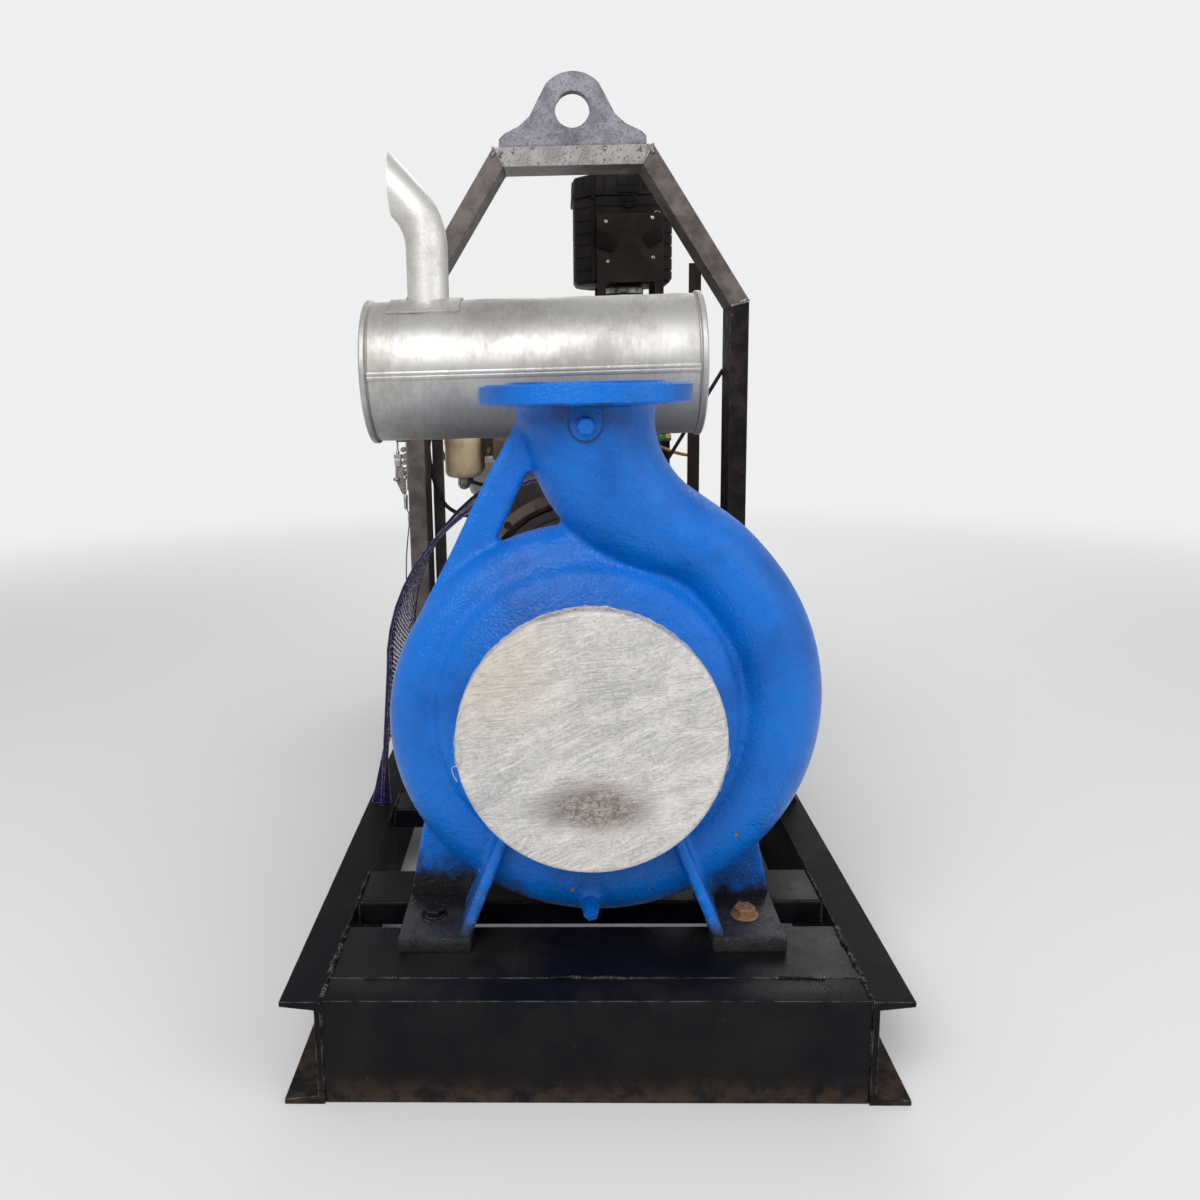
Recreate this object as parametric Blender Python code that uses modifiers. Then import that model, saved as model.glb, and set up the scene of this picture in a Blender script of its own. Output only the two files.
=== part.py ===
# Engine-driven water pump on a skid: an end-suction volute pump, a guarded coupling,
# a four-cylinder diesel engine with its radiator, and a lifting frame over the middle.
# Metres, Z up. The origin is on the floor under the middle of the skid.
# X runs to the right seen from the suction end, and Y runs from the suction end to the radiator.

import math

import bmesh
import bpy
from mathutils import Matrix, Vector

gap = 0.0003
turn = 2.0 * math.pi

# skid, welded from one channel section
skidWidth = 0.800
channelDepth = 0.144
channelFlange = 0.052
channelWeb = 0.008
flangeTip = 0.0065
flangeRoot = 0.0115
footPlateWidth = 0.124
footPlateThickness = 0.012
radiatorToSkidEnd = 0.180

# flat bar members, used for the cross bars and for the lifting frame
memberWidth = 0.100
memberThickness = 0.038
secondBarFront = 0.371
barClearance = 0.005
mountSpan = 0.480
mountInset = 0.060
mountPad = 0.070

# pump, measured from its shaft axis and from the middle plane of its discharge
dischargeToSkidEnd = 0.210
shaftHeight = 0.315
packerThickness = 0.004
suctionReach = 0.160
dischargeReach = 0.450
suctionFlangeRadius = 0.170
suctionBore = 0.100
dischargeFlangeRadius = 0.1425
dischargeBore = 0.075
dischargeFlangeThickness = 0.026
raisedFaceRadius = 0.106
raisedFaceHeight = 0.003
suctionFlangeThickness = 0.026
drumRadius = 0.207
drumHalfDepth = 0.066
casingWall = 0.011
filmThickness = 0.002
neckRadius = 0.092
neckStart = 0.196
ribThickness = 0.018
neckPlugDrop = 0.025
legThickness = 0.020
padLength = 0.200
padWidth = 0.100
padThickness = 0.018
footBarOverlap = 0.063
padOuter = 0.265
gussetThickness = 0.016
shaftFront = 0.180
shaftReach = 0.530
shaftRadius = 0.024
bearingNose = 0.088

# coupling guard
guardRadius = 0.353
guardCentreDrop = 0.059
guardFront = 0.385
guardClearance = 0.008
guardRimWidth = 0.030
guardRimThickness = 0.006
guardFootWidth = 0.037
guardFootHeight = 0.110
guardMeshThickness = 0.003
guardMeshInset = 0.0009
guardBar = 0.014
guardOpeningsAlong = 12
guardOpeningsAcross = 4

# engine
housingFace = 0.720
housingDepth = 0.110
housingRing = 0.2255
housingStep = 0.0135
housingWall = 0.0072
housingHollow = 0.070
flywheelClearance = 0.0148
blockLength = 0.560
blockHalfWidth = 0.150
blockTop = 0.250
blockBottom = -0.100
sumpBottom = -0.285
headHeight = 0.100
rockerHeight = 0.085
headHalfWidth = 0.115
sumpHalfWidth = 0.120
rockerHalfWidth = 0.085
oilFilterOffset = 0.020
starterX = 0.216

# silencer and its stack
silencerY = 0.400
silencerX = -0.076
silencerZ = 0.474
silencerRadius = 0.118
silencerLength = 0.566
silencerRim = 0.004
silencerTilt = math.radians(0.6)
stackX = -0.256
stackRadius = 0.0355
stackWall = 0.003
stackBendStart = 0.677
stackBendRadius = 0.109
stackBendAngle = 43.0
stackTail = 0.125
stackCut = -0.314
saddleLength = 0.120
armWidth = 0.024

# lifting frame
frameInset = 0.038
frameKnee = 0.610
frameTop = 0.922
beamHalfWidth = 0.163
lugThickness = 0.025
lugHalfWidth = 0.153
lugHeight = 0.153
lugHoleRadius = 0.036
lugHoleRise = 0.079

# air filter and its stand
filterX = 0.1255
filterToHousing = 0.290
filterHalfWidth = 0.1195
filterCorner = 0.046
filterDepth = 0.230
filterBottom = 0.682
filterBodyTop = 0.882
filterLidTop = 0.935
shelfTop = 0.640
plateLeft = 0.061
plateRight = 0.219
plateTop = 0.840
standX = 0.262
standWidth = 0.027
standThickness = 0.008
standTop = 0.708
ductX = 0.151
ductRadius = 0.034
outletRadius = 0.052
intakeTop = 0.330

# fuel filters
fuelFilterX = -0.255
fuelFilterRadius = 0.042
fuelFilterBottom = 0.238
fuelFilterHead = 0.335
fuelFilterPitch = 0.100

# radiator, fan and belt
engineToRadiator = 0.310
fanToRadiator = 0.110
radiatorInset = 0.048
radiatorBottom = -0.170
radiatorTop = 0.440
radiatorDepth = 0.075
fanHeight = 0.168
fanRadius = 0.215
fanBlades = 7
caseDepth = 0.055
caseHalfWidth = 0.140
crankPulleyRadius = 0.085
fanPulleyRadius = 0.060
alternatorPulleyRadius = 0.034
alternatorX = -0.225
alternatorZ = 0.190
alternatorRadius = 0.060
beltThickness = 0.010
hoseRadius = 0.019
topHoseX = -0.150
bottomHoseX = 0.150

# places that follow, from the pump
housingRear = housingFace + housingDepth
engineRear = housingRear + blockLength
radiatorY = engineRear + engineToRadiator
fanPlane = radiatorY - fanToRadiator
beltPlane = engineRear + caseDepth + 0.024
housingBodyRadius = housingRing - housingStep
housingBore = housingBodyRadius - housingWall
guardRear = housingFace - guardClearance
filterY = housingRear + filterToHousing
couplingRear = housingFace + 0.015
frameY = housingRear + mountInset - barClearance - memberWidth / 2.0

skidLength = dischargeToSkidEnd + radiatorY + radiatorToSkidEnd
halfLength = skidLength / 2.0
pumpY = -halfLength + dischargeToSkidEnd
frameMiddle = pumpY + frameY
railTop = channelDepth
shaftZ = railTop + packerThickness + shaftHeight
railInner = skidWidth / 2.0 - channelFlange
frameHalfWidth = skidWidth / 2.0 - frameInset
radiatorHalfWidth = railInner - radiatorInset
guardLean = skidWidth / 2.0 - channelFlange / 2.0 + 0.001 - guardRadius


def fromPump(x, y, z):
    """A place given from the shaft axis and the discharge plane."""
    return Vector((x, pumpY + y, shaftZ + z))


for leftover in list(bpy.data.objects):
    bpy.data.objects.remove(leftover, do_unlink=True)

parts = bpy.data.collections.new("engine_driven_water_pump")
cutters = bpy.data.collections.new("cutters")
bpy.context.scene.collection.children.link(parts)
bpy.context.scene.collection.children.link(cutters)


def finish(name, colour, roughness, metallic):
    material = bpy.data.materials.new(name)
    material.use_nodes = True
    shader = material.node_tree.nodes["Principled BSDF"]
    shader.inputs["Base Color"].default_value = (*colour, 1.0)
    shader.inputs["Roughness"].default_value = roughness
    shader.inputs["Metallic"].default_value = metallic
    material.diffuse_color = (*colour, 1.0)
    return material


pumpBlue = ("pump_blue", (0.02, 0.16, 0.62), 0.38, 0.0)
skidBlack = ("skid_black", (0.015, 0.015, 0.018), 0.35, 0.0)
frameGrey = ("frame_grey", (0.09, 0.085, 0.085), 0.45, 0.3)
lugSilver = ("lug_silver", (0.42, 0.43, 0.46), 0.5, 0.6)
brushed = ("brushed_metal", (0.62, 0.61, 0.6), 0.32, 1.0)
guardPurple = ("guard_purple", (0.05, 0.035, 0.14), 0.45, 0.0)
engineGrey = ("engine_grey", (0.16, 0.15, 0.15), 0.55, 0.3)
blackPlastic = ("black_plastic", (0.02, 0.02, 0.022), 0.5, 0.0)
blackRubber = ("black_rubber", (0.018, 0.018, 0.018), 0.7, 0.0)
canisterCream = ("canister_cream", (0.62, 0.58, 0.47), 0.4, 0.0)
filmWhite = ("wrap_film", (0.78, 0.78, 0.77), 0.3, 0.0)
bareSteel = ("bare_steel", (0.5, 0.49, 0.47), 0.35, 1.0)


def place(obj, collection=parts, look=None):
    for owner in list(obj.users_collection):
        owner.objects.unlink(obj)
    collection.objects.link(obj)
    if look is not None:
        obj.data.materials.clear()
        obj.data.materials.append(finish(obj.name + "_" + look[0], *look[1:]))
    if collection is cutters:
        obj.hide_render = True
        obj.display_type = "WIRE"
    return obj


def meshObject(name, build, collection=cutters):
    """An object whose mesh is filled by build(bm)."""
    mesh = bpy.data.meshes.new(name)
    bm = bmesh.new()
    build(bm)
    bmesh.ops.recalc_face_normals(bm, faces=bm.faces)
    bm.to_mesh(mesh)
    bm.free()
    obj = bpy.data.objects.new(name, mesh)
    return place(obj, collection)


def box(name, low, high, bevel=0.0):
    low = Vector(low)
    high = Vector(high)
    middle = (low + high) / 2.0
    size = high - low

    def build(bm):
        shape = bmesh.ops.create_cube(bm, size=1.0)
        bmesh.ops.scale(bm, vec=size, verts=shape["verts"])
        if bevel:
            bmesh.ops.bevel(bm, geom=list(bm.edges), offset=bevel, segments=2, profile=0.5,
                            affect="EDGES")

    obj = meshObject(name, build)
    obj.location = middle
    return obj


def boxBetween(name, first, second, bevel=0.0):
    """A box between two opposite corners given from the pump, in any order."""
    first = fromPump(*first)
    second = fromPump(*second)
    low = [min(one, other) for one, other in zip(first, second)]
    high = [max(one, other) for one, other in zip(first, second)]
    return box(name, low, high, bevel)


def cylinder(name, radius, start, end, sides=32):
    """A round bar from start to end."""
    start = Vector(start)
    end = Vector(end)
    along = end - start

    def build(bm):
        bmesh.ops.create_cone(bm, cap_ends=True, segments=sides, radius1=radius, radius2=radius,
                              depth=along.length)

    obj = meshObject(name, build)
    obj.rotation_mode = "QUATERNION"
    obj.rotation_quaternion = along.to_track_quat("Z", "Y")
    obj.location = (start + end) / 2.0
    return obj


def weldedMesh(source, name):
    """The evaluated curve as a mesh object, with its loose caps welded."""
    bpy.context.view_layer.update()
    evaluated = source.evaluated_get(bpy.context.evaluated_depsgraph_get())
    mesh = bpy.data.meshes.new_from_object(evaluated)
    bm = bmesh.new()
    bm.from_mesh(mesh)
    bmesh.ops.remove_doubles(bm, verts=bm.verts, dist=0.00001)
    bmesh.ops.recalc_face_normals(bm, faces=bm.faces)
    bm.to_mesh(mesh)
    bm.free()
    obj = bpy.data.objects.new(name, mesh)
    obj.matrix_world = source.matrix_world.copy()
    bpy.data.objects.remove(source, do_unlink=True)
    return place(obj, cutters)


def outlinePlate(name, outlines, thickness, plane, middle):
    """A flat plate from closed outlines. plane is XZ, XY or YZ; middle is its centre along the normal."""
    curve = bpy.data.curves.new(name + "_outline", "CURVE")
    curve.dimensions = "2D"
    curve.fill_mode = "BOTH"
    curve.extrude = thickness / 2.0
    for outline in outlines:
        spline = curve.splines.new("POLY")
        spline.points.add(len(outline) - 1)
        spline.use_cyclic_u = True
        for point, (u, v) in zip(spline.points, outline):
            point.co = (u, v, 0.0, 1.0)
    source = bpy.data.objects.new(name + "_outline", curve)
    cutters.objects.link(source)
    upright = Matrix.Rotation(math.radians(90.0), 4, "X")
    turns = {"XZ": upright, "XY": Matrix.Identity(4),
             "YZ": Matrix.Rotation(math.radians(90.0), 4, "Z") @ upright}
    normal = {"XZ": Vector((0.0, 1.0, 0.0)), "XY": Vector((0.0, 0.0, 1.0)),
              "YZ": Vector((1.0, 0.0, 0.0))}
    source.matrix_world = Matrix.Translation(normal[plane] * middle) @ turns[plane]
    return weldedMesh(source, name)


def tube(name, points, radius, resolution=3):
    """A round bar or pipe along a list of places."""
    curve = bpy.data.curves.new(name + "_path", "CURVE")
    curve.dimensions = "3D"
    curve.bevel_depth = radius
    curve.bevel_resolution = resolution
    curve.use_fill_caps = True
    spline = curve.splines.new("POLY")
    spline.points.add(len(points) - 1)
    for point, spot in zip(spline.points, points):
        point.co = (*spot, 1.0)
    source = bpy.data.objects.new(name + "_path", curve)
    cutters.objects.link(source)
    return weldedMesh(source, name)


def revolve(name, profile, axis, centre, steps=48):
    """A closed turned shape. profile is (radius, distance along the axis) from one end to the other."""
    mesh = bpy.data.meshes.new(name + "_profile")
    bm = bmesh.new()
    spots = [bm.verts.new((radius, 0.0, along)) for radius, along in profile]
    for first, second in zip(spots, spots[1:]):
        bm.edges.new((first, second))
    bm.to_mesh(mesh)
    bm.free()
    obj = bpy.data.objects.new(name + "_profile", mesh)
    place(obj, cutters)
    screw = obj.modifiers.new("Screw", "SCREW")
    screw.axis = "Z"
    screw.steps = steps
    screw.render_steps = steps
    screw.use_merge_vertices = True
    screw.merge_threshold = 0.00001
    turns = {"Y": Matrix.Rotation(math.radians(-90.0), 4, "X"),
             "X": Matrix.Rotation(math.radians(90.0), 4, "Y"),
             "Z": Matrix.Identity(4)}
    obj.matrix_world = Matrix.Translation(Vector(centre)) @ turns[axis]
    return weldedMesh(obj, name)


def applyAll(obj):
    """The object with its modifiers made real and its place in its mesh."""
    bpy.context.view_layer.update()
    evaluated = obj.evaluated_get(bpy.context.evaluated_depsgraph_get())
    mesh = bpy.data.meshes.new_from_object(evaluated)
    obj.modifiers.clear()
    obj.data = mesh
    return obj


def combine(target, others, operation):
    """Join the other shapes to the target, or cut them out of it."""
    for other in others:
        step = target.modifiers.new(operation.title(), "BOOLEAN")
        step.operation = operation
        step.solver = "EXACT"
        step.object = other
        applyAll(target)
        bpy.data.objects.remove(other, do_unlink=True)
    return target


def join(target, others):
    return combine(target, others, "UNION")


def cut(target, others):
    return combine(target, others, "DIFFERENCE")


def node(obj, look, smooth=True):
    """Put a finished shape among the parts with its own material."""
    if smooth:
        obj.data.shade_smooth()
        obj.data.set_sharp_from_angle(angle=math.radians(35.0))
    obj.hide_render = False
    obj.display_type = "TEXTURED"
    return place(obj, parts, look)


def arc(centreX, centreY, radius, first, last, count):
    """Places on an arc, angles in degrees."""
    spots = []
    for step in range(count + 1):
        angle = math.radians(first + (last - first) * step / count)
        spots.append((centreX + radius * math.cos(angle), centreY + radius * math.sin(angle)))
    return spots


def ring(radius, count=24, centreX=0.0, centreY=0.0):
    return arc(centreX, centreY, radius, 0.0, 360.0, count)[:-1]


# skid

def channelSection():
    """Section of the channel: back of the web on the line u = 0, flanges towards +u."""
    half = [(0.0, 0.0), (channelFlange, 0.0), (channelFlange, flangeTip), (channelWeb, flangeRoot)]
    return half + [(u, channelDepth - v) for u, v in reversed(half)]


def makeRails():
    for side, name in ((-1.0, "skid_rail_left"), (1.0, "skid_rail_right")):
        section = [(side * (railInner + u), v) for u, v in channelSection()]
        node(outlinePlate(name, [section], skidLength, "XZ", 0.0), skidBlack)


def makeEndChannels():
    length = 2.0 * (railInner - gap)
    for side, name in ((-1.0, "skid_front_channel"), (1.0, "skid_rear_channel")):
        section = [(side * (halfLength - u), v) for u, v in channelSection()]
        node(outlinePlate(name, [section], length, "YZ", 0.0), skidBlack)


def makeFootPlate():
    front = -halfLength + channelFlange + gap
    reach = railInner - gap
    node(box("pump_foot_plate", (-reach, front, railTop - footPlateThickness),
             (reach, front + footPlateWidth, railTop)), skidBlack)


def crossBar(name, front, extras=()):
    reach = railInner - gap
    bar = box(name, (-reach, front, railTop - memberThickness), (reach, front + memberWidth, railTop),
              0.004)
    node(join(bar, extras), skidBlack)


def engineMounts(front):
    """Two pedestals on a cross bar, each with a rubber block and an arm to the side of the engine block."""
    pieces = []
    middle = front + memberWidth / 2.0
    half = mountPad / 2.0
    low = railTop - 0.003
    pad = shaftZ - 0.150
    arm = shaftZ - 0.110
    for side in (-1.0, 1.0):
        centre = side * mountSpan / 2.0
        outer = centre + side * half
        inner = side * (blockHalfWidth + gap)
        rim = half - 0.005
        shapes = {"pedestal": ((centre - half, middle - half, low), (centre + half, middle + half, pad)),
                  "rubber": ((centre - rim, middle - rim, pad - 0.002), (centre + rim, middle + rim, arm)),
                  "arm": ((inner, middle - half, arm - 0.002), (outer, middle + half, arm + 0.012)),
                  "plate": ((inner, middle - half, arm + 0.010),
                            (inner + side * 0.014, middle + half, shaftZ + 0.020))}
        for name, (first, second) in shapes.items():
            corners = [sorted(pair) for pair in zip(first, second)]
            pieces.append(box(name, [pair[0] for pair in corners], [pair[1] for pair in corners]))
    return pieces


def makeCrossBars():
    crossBar("cross_bar_pump_feet", pumpY + padLength / 2.0 - footBarOverlap)
    crossBar("cross_bar_bearing_foot", pumpY + secondBarFront)
    crossBar("cross_bar_lifting_frame", frameMiddle - memberWidth / 2.0)
    crossBar("cross_bar_engine_front", engineBarPlace(0), engineMounts(engineBarPlace(0)))
    crossBar("cross_bar_engine_rear", engineBarPlace(1), engineMounts(engineBarPlace(1)))
    crossBar("cross_bar_radiator", pumpY + radiatorY - (memberWidth - radiatorDepth) / 2.0)


def engineBarPlace(count):
    """Front edge of the cross bar under the first or the second pair of engine mounts."""
    first = pumpY + housingRear + mountInset
    last = pumpY + engineRear - mountInset - memberWidth
    return last if count else first


# lifting frame

def frameCorners():
    """Knee and beam end of the arch's right half, and the inward normal of its brace."""
    knee = Vector((frameHalfWidth, frameKnee))
    crown = Vector((beamHalfWidth, frameTop))
    slope = (crown - knee).normalized()
    return knee, crown, slope, Vector((-slope.y, slope.x))


def insideCorner(outerCorner, firstNormal, secondNormal):
    """Inner corner of a mitre between two bars of one thickness, from their inward normals."""
    total = firstNormal + secondNormal
    return outerCorner + total * (memberThickness / (1.0 + firstNormal.dot(secondNormal)))


def makeLiftingFrame():
    knee, crown, slope, inward = frameCorners()
    postInward = Vector((-1.0, 0.0))
    beamInward = Vector((0.0, -1.0))
    kneeInside = insideCorner(knee, postInward, inward)
    crownInside = insideCorner(crown, inward, beamInward)
    foot = -shaftZ + railTop + gap
    back = slope * (gap / 2.0)
    for side, word in ((-1.0, "left"), (1.0, "right")):
        post = [(knee.x, foot), (knee.x, knee.y - gap), (kneeInside.x, kneeInside.y - gap),
                (kneeInside.x, foot)]
        brace = [knee + back, crown - back, crownInside - back, kneeInside + back]
        for name, outline in (("lifting_post_" + word, post), ("lifting_brace_" + word, brace)):
            spots = [(side * u, shaftZ + v) for u, v in outline]
            node(outlinePlate(name, [spots], memberWidth, "XZ", frameMiddle), frameGrey)
    beam = []
    for side in (1.0, -1.0):
        ends = [crown, crownInside]
        if side < 0.0:
            ends.reverse()
        beam += [(side * (u - gap), shaftZ + v) for u, v in ends]
    node(outlinePlate("lifting_beam", [beam], memberWidth, "XZ", frameMiddle), frameGrey)


def makeLug():
    base = shaftZ + frameTop + gap
    half = [(lugHalfWidth, 0.0), (lugHalfWidth - 0.001, 0.024), (lugHalfWidth - 0.011, 0.034),
            (0.110, 0.049), (0.088, 0.068)]
    crownArc = arc(0.0, lugHoleRise, lugHeight - lugHoleRise, 42.0, 138.0, 10)
    outline = half + crownArc + [(-u, v) for u, v in reversed(half)]
    outline = [(u, base + v) for u, v in outline]
    hole = ring(lugHoleRadius, 24, 0.0, base + lugHoleRise)
    node(outlinePlate("lifting_lug", [outline, hole], lugThickness, "XZ", frameMiddle), lugSilver)


# pump casing

def between(value, table):
    """Straight-line value from a table of (place, value) pairs."""
    for (lowPlace, lowValue), (highPlace, highValue) in zip(table, table[1:]):
        if value <= highPlace:
            share = (value - lowPlace) / (highPlace - lowPlace)
            return lowValue + (highValue - lowValue) * share
    return table[-1][1]


# outer radius, inner radius and half depth of the scroll, by angle from +X, growing with the flow
scrollOuter = [(78, 0.257), (104, 0.260), (148, 0.264), (180, 0.273), (212, 0.284), (270, 0.299),
               (305, 0.316), (336, 0.328), (360, 0.333), (390, 0.336), (420, 0.338)]
scrollInner = [(78, 0.170), (180, 0.178), (270, 0.182), (360, 0.186), (420, 0.210)]
scrollDepth = [(78, 0.042), (104, 0.044), (180, 0.050), (270, 0.061), (360, 0.072), (420, 0.077)]
scrollFirst = 80.0
scrollLast = 418.0
scrollStep = 13.0
# right side, left side and half depth of the swan neck from the scroll up to the flange:
# each side is a distance from the discharge axis and a share of the neck's height
neckSections = [((0.147, 0.429), (0.046, 0.0), 0.079), ((0.129, 0.488), (-0.002, 0.126), 0.082),
                ((0.113, 0.559), (-0.034, 0.268), 0.085), ((0.102, 0.638), (-0.057, 0.409), 0.087),
                ((0.095, 0.728), (-0.072, 0.555), 0.089), ((0.092, 0.819), (-0.085, 0.736), 0.091),
                ((0.092, 0.921), (-0.092, 0.921), 0.092)]
skinSides = 20
coreSides = 12


def neckLevel(share):
    """Height above the shaft of a share of the neck, which runs from the scroll to the discharge face."""
    return neckStart + (dischargeReach - neckStart) * share


def neckPlugLevel():
    """Height of the neck plug, just under the discharge flange."""
    return dischargeReach - raisedFaceHeight - dischargeFlangeThickness - neckPlugDrop


def flowSections(inset):
    """Sections of the water passage's skin, moved inwards by inset: outer, inner, half depth."""
    sections = []
    count = round((scrollLast - scrollFirst) / scrollStep)
    for step in range(count + 1):
        angle = scrollFirst + scrollStep * step
        away = Vector((math.cos(math.radians(angle)), math.sin(math.radians(angle))))
        sections.append((away * between(angle, scrollOuter), away * between(angle, scrollInner),
                         between(angle, scrollDepth)))
    for right, left, depth in neckSections:
        sections.append((Vector((right[0], neckLevel(right[1]))), Vector((left[0], neckLevel(left[1]))),
                         depth))
    moved = []
    for outer, inner, depth in sections:
        across = (outer - inner).normalized()
        moved.append((outer - across * inset, inner + across * inset, depth - inset))
    return moved


def flowLoft(name, sections, sectionSides):
    """A closed skin through the sections, one ring of points for each."""
    def build(bm):
        rings = []
        for outer, inner, depth in sections:
            centre = (outer + inner) / 2.0
            arm = (outer - inner) / 2.0
            loop = []
            for side in range(sectionSides):
                angle = turn * side / sectionSides
                spot = centre + arm * math.cos(angle)
                loop.append(bm.verts.new((spot.x, depth * math.sin(angle), spot.y)))
            rings.append(loop)
        for first, second in zip(rings, rings[1:]):
            for side in range(sectionSides):
                after = (side + 1) % sectionSides
                bm.faces.new((first[side], first[after], second[after], second[side]))
        for loop in (rings[0], rings[-1]):
            middle = sum((vert.co for vert in loop), Vector()) / sectionSides
            hub = bm.verts.new(middle)
            for side in range(sectionSides):
                bm.faces.new((hub, loop[side], loop[(side + 1) % sectionSides]))

    obj = meshObject(name, build)
    obj.location = fromPump(0.0, 0.0, 0.0)
    return obj


def flowBody(name, sections, sectionSides):
    """The whole skin, lofted as an early and a late half so that neither crosses itself at the tongue."""
    middle = len(sections) // 2
    return join(flowLoft(name, sections[:middle + 1], sectionSides),
                [flowLoft("late_half", sections[middle:], sectionSides)])


def casingBody():
    """The scroll and neck joined with the drum, the suction nozzle and both flanges."""
    body = flowBody("pump_casing", flowSections(0.0), skinSides)
    front = -suctionReach
    back = front + suctionFlangeThickness
    drum = [(0.0, front), (suctionFlangeRadius, front), (suctionFlangeRadius, back), (0.118, back + 0.004),
            (0.122, -0.106), (0.150, -0.084), (0.180, -0.072),
            (drumRadius - 0.010, -drumHalfDepth), (drumRadius, -drumHalfDepth + 0.010),
            (drumRadius, drumHalfDepth - 0.025), (drumRadius + 0.030, drumHalfDepth - 0.019),
            (drumRadius + 0.030, drumHalfDepth), (0.0, drumHalfDepth)]
    seat = dischargeReach - raisedFaceHeight
    low = neckLevel(0.8524)
    neck = [(0.0, low), (neckRadius - 0.004, low), (neckRadius + 0.002, neckLevel(0.878)),
            (neckRadius + 0.004, seat - dischargeFlangeThickness - 0.001),
            (dischargeFlangeRadius, seat - dischargeFlangeThickness), (dischargeFlangeRadius, seat),
            (raisedFaceRadius, seat), (raisedFaceRadius, dischargeReach), (0.0, dischargeReach)]
    turnedDrum = revolve("drum", drum, "Y", fromPump(0.0, 0.0, 0.0), 48)
    turnedNeck = revolve("neck", neck, "Z", fromPump(0.0, 0.0, 0.0), 40)
    return join(body, [turnedDrum, turnedNeck])


def ribPlate():
    """The flat web between the scroll and the neck, with its three-sided window."""
    upper = [(-0.080, 0.8425), (-0.093, 0.795), (-0.145, 0.425), (-0.190, 0.071)]
    lower = [(-0.256, 0.092), (-0.230, 0.020), (-0.100, 0.180)]
    inner = [(0.040, 0.114), (0.065, 0.370), (-0.010, 0.764)]
    window = [(-0.070, 0.535), (-0.081, 0.508), (-0.126, 0.1535), (-0.119, 0.130), (-0.070, 0.193),
              (0.000, 0.2205), (0.020, 0.311), (-0.020, 0.449)]
    edge = [(u, neckLevel(share)) for u, share in upper] + lower
    edge += [(u, neckLevel(share)) for u, share in inner]
    outlines = [[(u, shaftZ + v) for u, v in edge],
                [(u, shaftZ + neckLevel(share)) for u, share in window]]
    return outlinePlate("rib", outlines, ribThickness, "XZ", pumpY)


def legParts(side):
    """One leg: its foot pad, its upright plate and the slanted gusset in front."""
    padTop = -shaftHeight + padThickness
    inner = padOuter - padWidth
    pad = boxBetween("pad", (side * inner, -padLength / 2.0, -shaftHeight - packerThickness + gap),
                     (side * padOuter, padLength / 2.0, padTop), 0.003)
    outline = [(inner, padTop - 0.004), (padOuter, padTop - 0.004), (0.234, -0.150), (0.190, -0.120),
               (0.080, -0.200)]
    plate = outlinePlate("plate", [[(side * u, shaftZ + v) for u, v in outline]], legThickness, "XZ",
                         pumpY + 0.015 + legThickness / 2.0)
    thick = gussetThickness
    low = Vector((side * (inner + thick / 2.0), padTop))
    high = Vector((side * 0.112, -0.150))
    along = high - low
    across = Vector((along.y, -along.x)).normalized() * (thick / 2.0)
    start = low - along.normalized() * 0.006
    corners = [start + across, high + across, high - across, start - across]
    gusset = outlinePlate("gusset", [[(spot.x, shaftZ + spot.y) for spot in corners]], 0.115, "XZ",
                          pumpY - 0.0425)
    bottom = shaftZ + padTop - 0.020
    top = shaftZ - 0.100
    slope = [(pumpY - 0.110, bottom), (pumpY - 0.110, top), (pumpY - 0.072, top), (pumpY - 0.099, bottom)]
    wedge = outlinePlate("wedge", [slope], skidWidth, "YZ", 0.0)
    cut(gusset, [wedge])
    return [pad, plate, gusset]


def casingBosses():
    """The bosses that the two plugs screw into."""
    level = neckPlugLevel()
    upper = cylinder("boss", 0.019, fromPump(-0.002, -0.060, level), fromPump(-0.002, -0.094, level), 24)
    web = box("boss_web", fromPump(-0.020, -0.092, level), fromPump(0.016, -0.050, dischargeReach - 0.010))
    lower = cylinder("drain_boss", 0.014, fromPump(0.0, -0.030, -0.262), fromPump(0.0, -0.066, -0.268), 20)
    return [upper, web, lower]


def makeCasing():
    body = casingBody()
    others = [ribPlate()]
    for side in (-1.0, 1.0):
        others += legParts(side)
    join(body, others + casingBosses())
    core = flowBody("core", flowSections(casingWall)[2:], coreSides)
    wide = drumRadius - 0.014
    rear = drumHalfDepth
    chamber = [(0.0, -suctionReach - 0.010), (suctionBore, -suctionReach - 0.010), (suctionBore, -0.060),
               (0.170, -0.052), (wide, -0.040), (wide, rear - 0.020), (wide - 0.008, rear - 0.020),
               (wide - 0.008, rear + 0.010), (0.0, rear + 0.010)]
    low = neckLevel(0.823)
    bore = [(0.0, low), (dischargeBore + 0.004, low), (dischargeBore, neckLevel(0.961)),
            (dischargeBore, dischargeReach + 0.010), (0.0, dischargeReach + 0.010)]
    join(core, [revolve("chamber", chamber, "Y", fromPump(0.0, 0.0, 0.0), 32),
                revolve("bore", bore, "Z", fromPump(0.0, 0.0, 0.0), 28)])
    cut(body, [core])
    node(body, pumpBlue)


def makeFilm():
    front = -suctionReach - gap
    radius = suctionFlangeRadius + gap
    outer = radius + filmThickness
    rear = front + suctionFlangeThickness + 0.004
    profile = [(0.0, front - filmThickness), (outer - 0.004, front - filmThickness), (outer, front + 0.002),
               (outer, rear), (radius, rear), (radius, front), (0.0, front)]
    node(revolve("suction_film_wrap", profile, "Y", fromPump(0.0, 0.0, 0.0), 48), filmWhite)


def makePlugs():
    level = neckPlugLevel()
    for name, radius, start, end in (
            ("neck_plug", 0.012, (-0.002, -0.0943, level), (-0.002, -0.108, level)),
            ("drain_plug", 0.0115, (0.0, -0.0664, -0.26805), (0.0, -0.088, -0.2715))):
        node(cylinder(name, radius, fromPump(*start), fromPump(*end), 6), pumpBlue, False)


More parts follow.
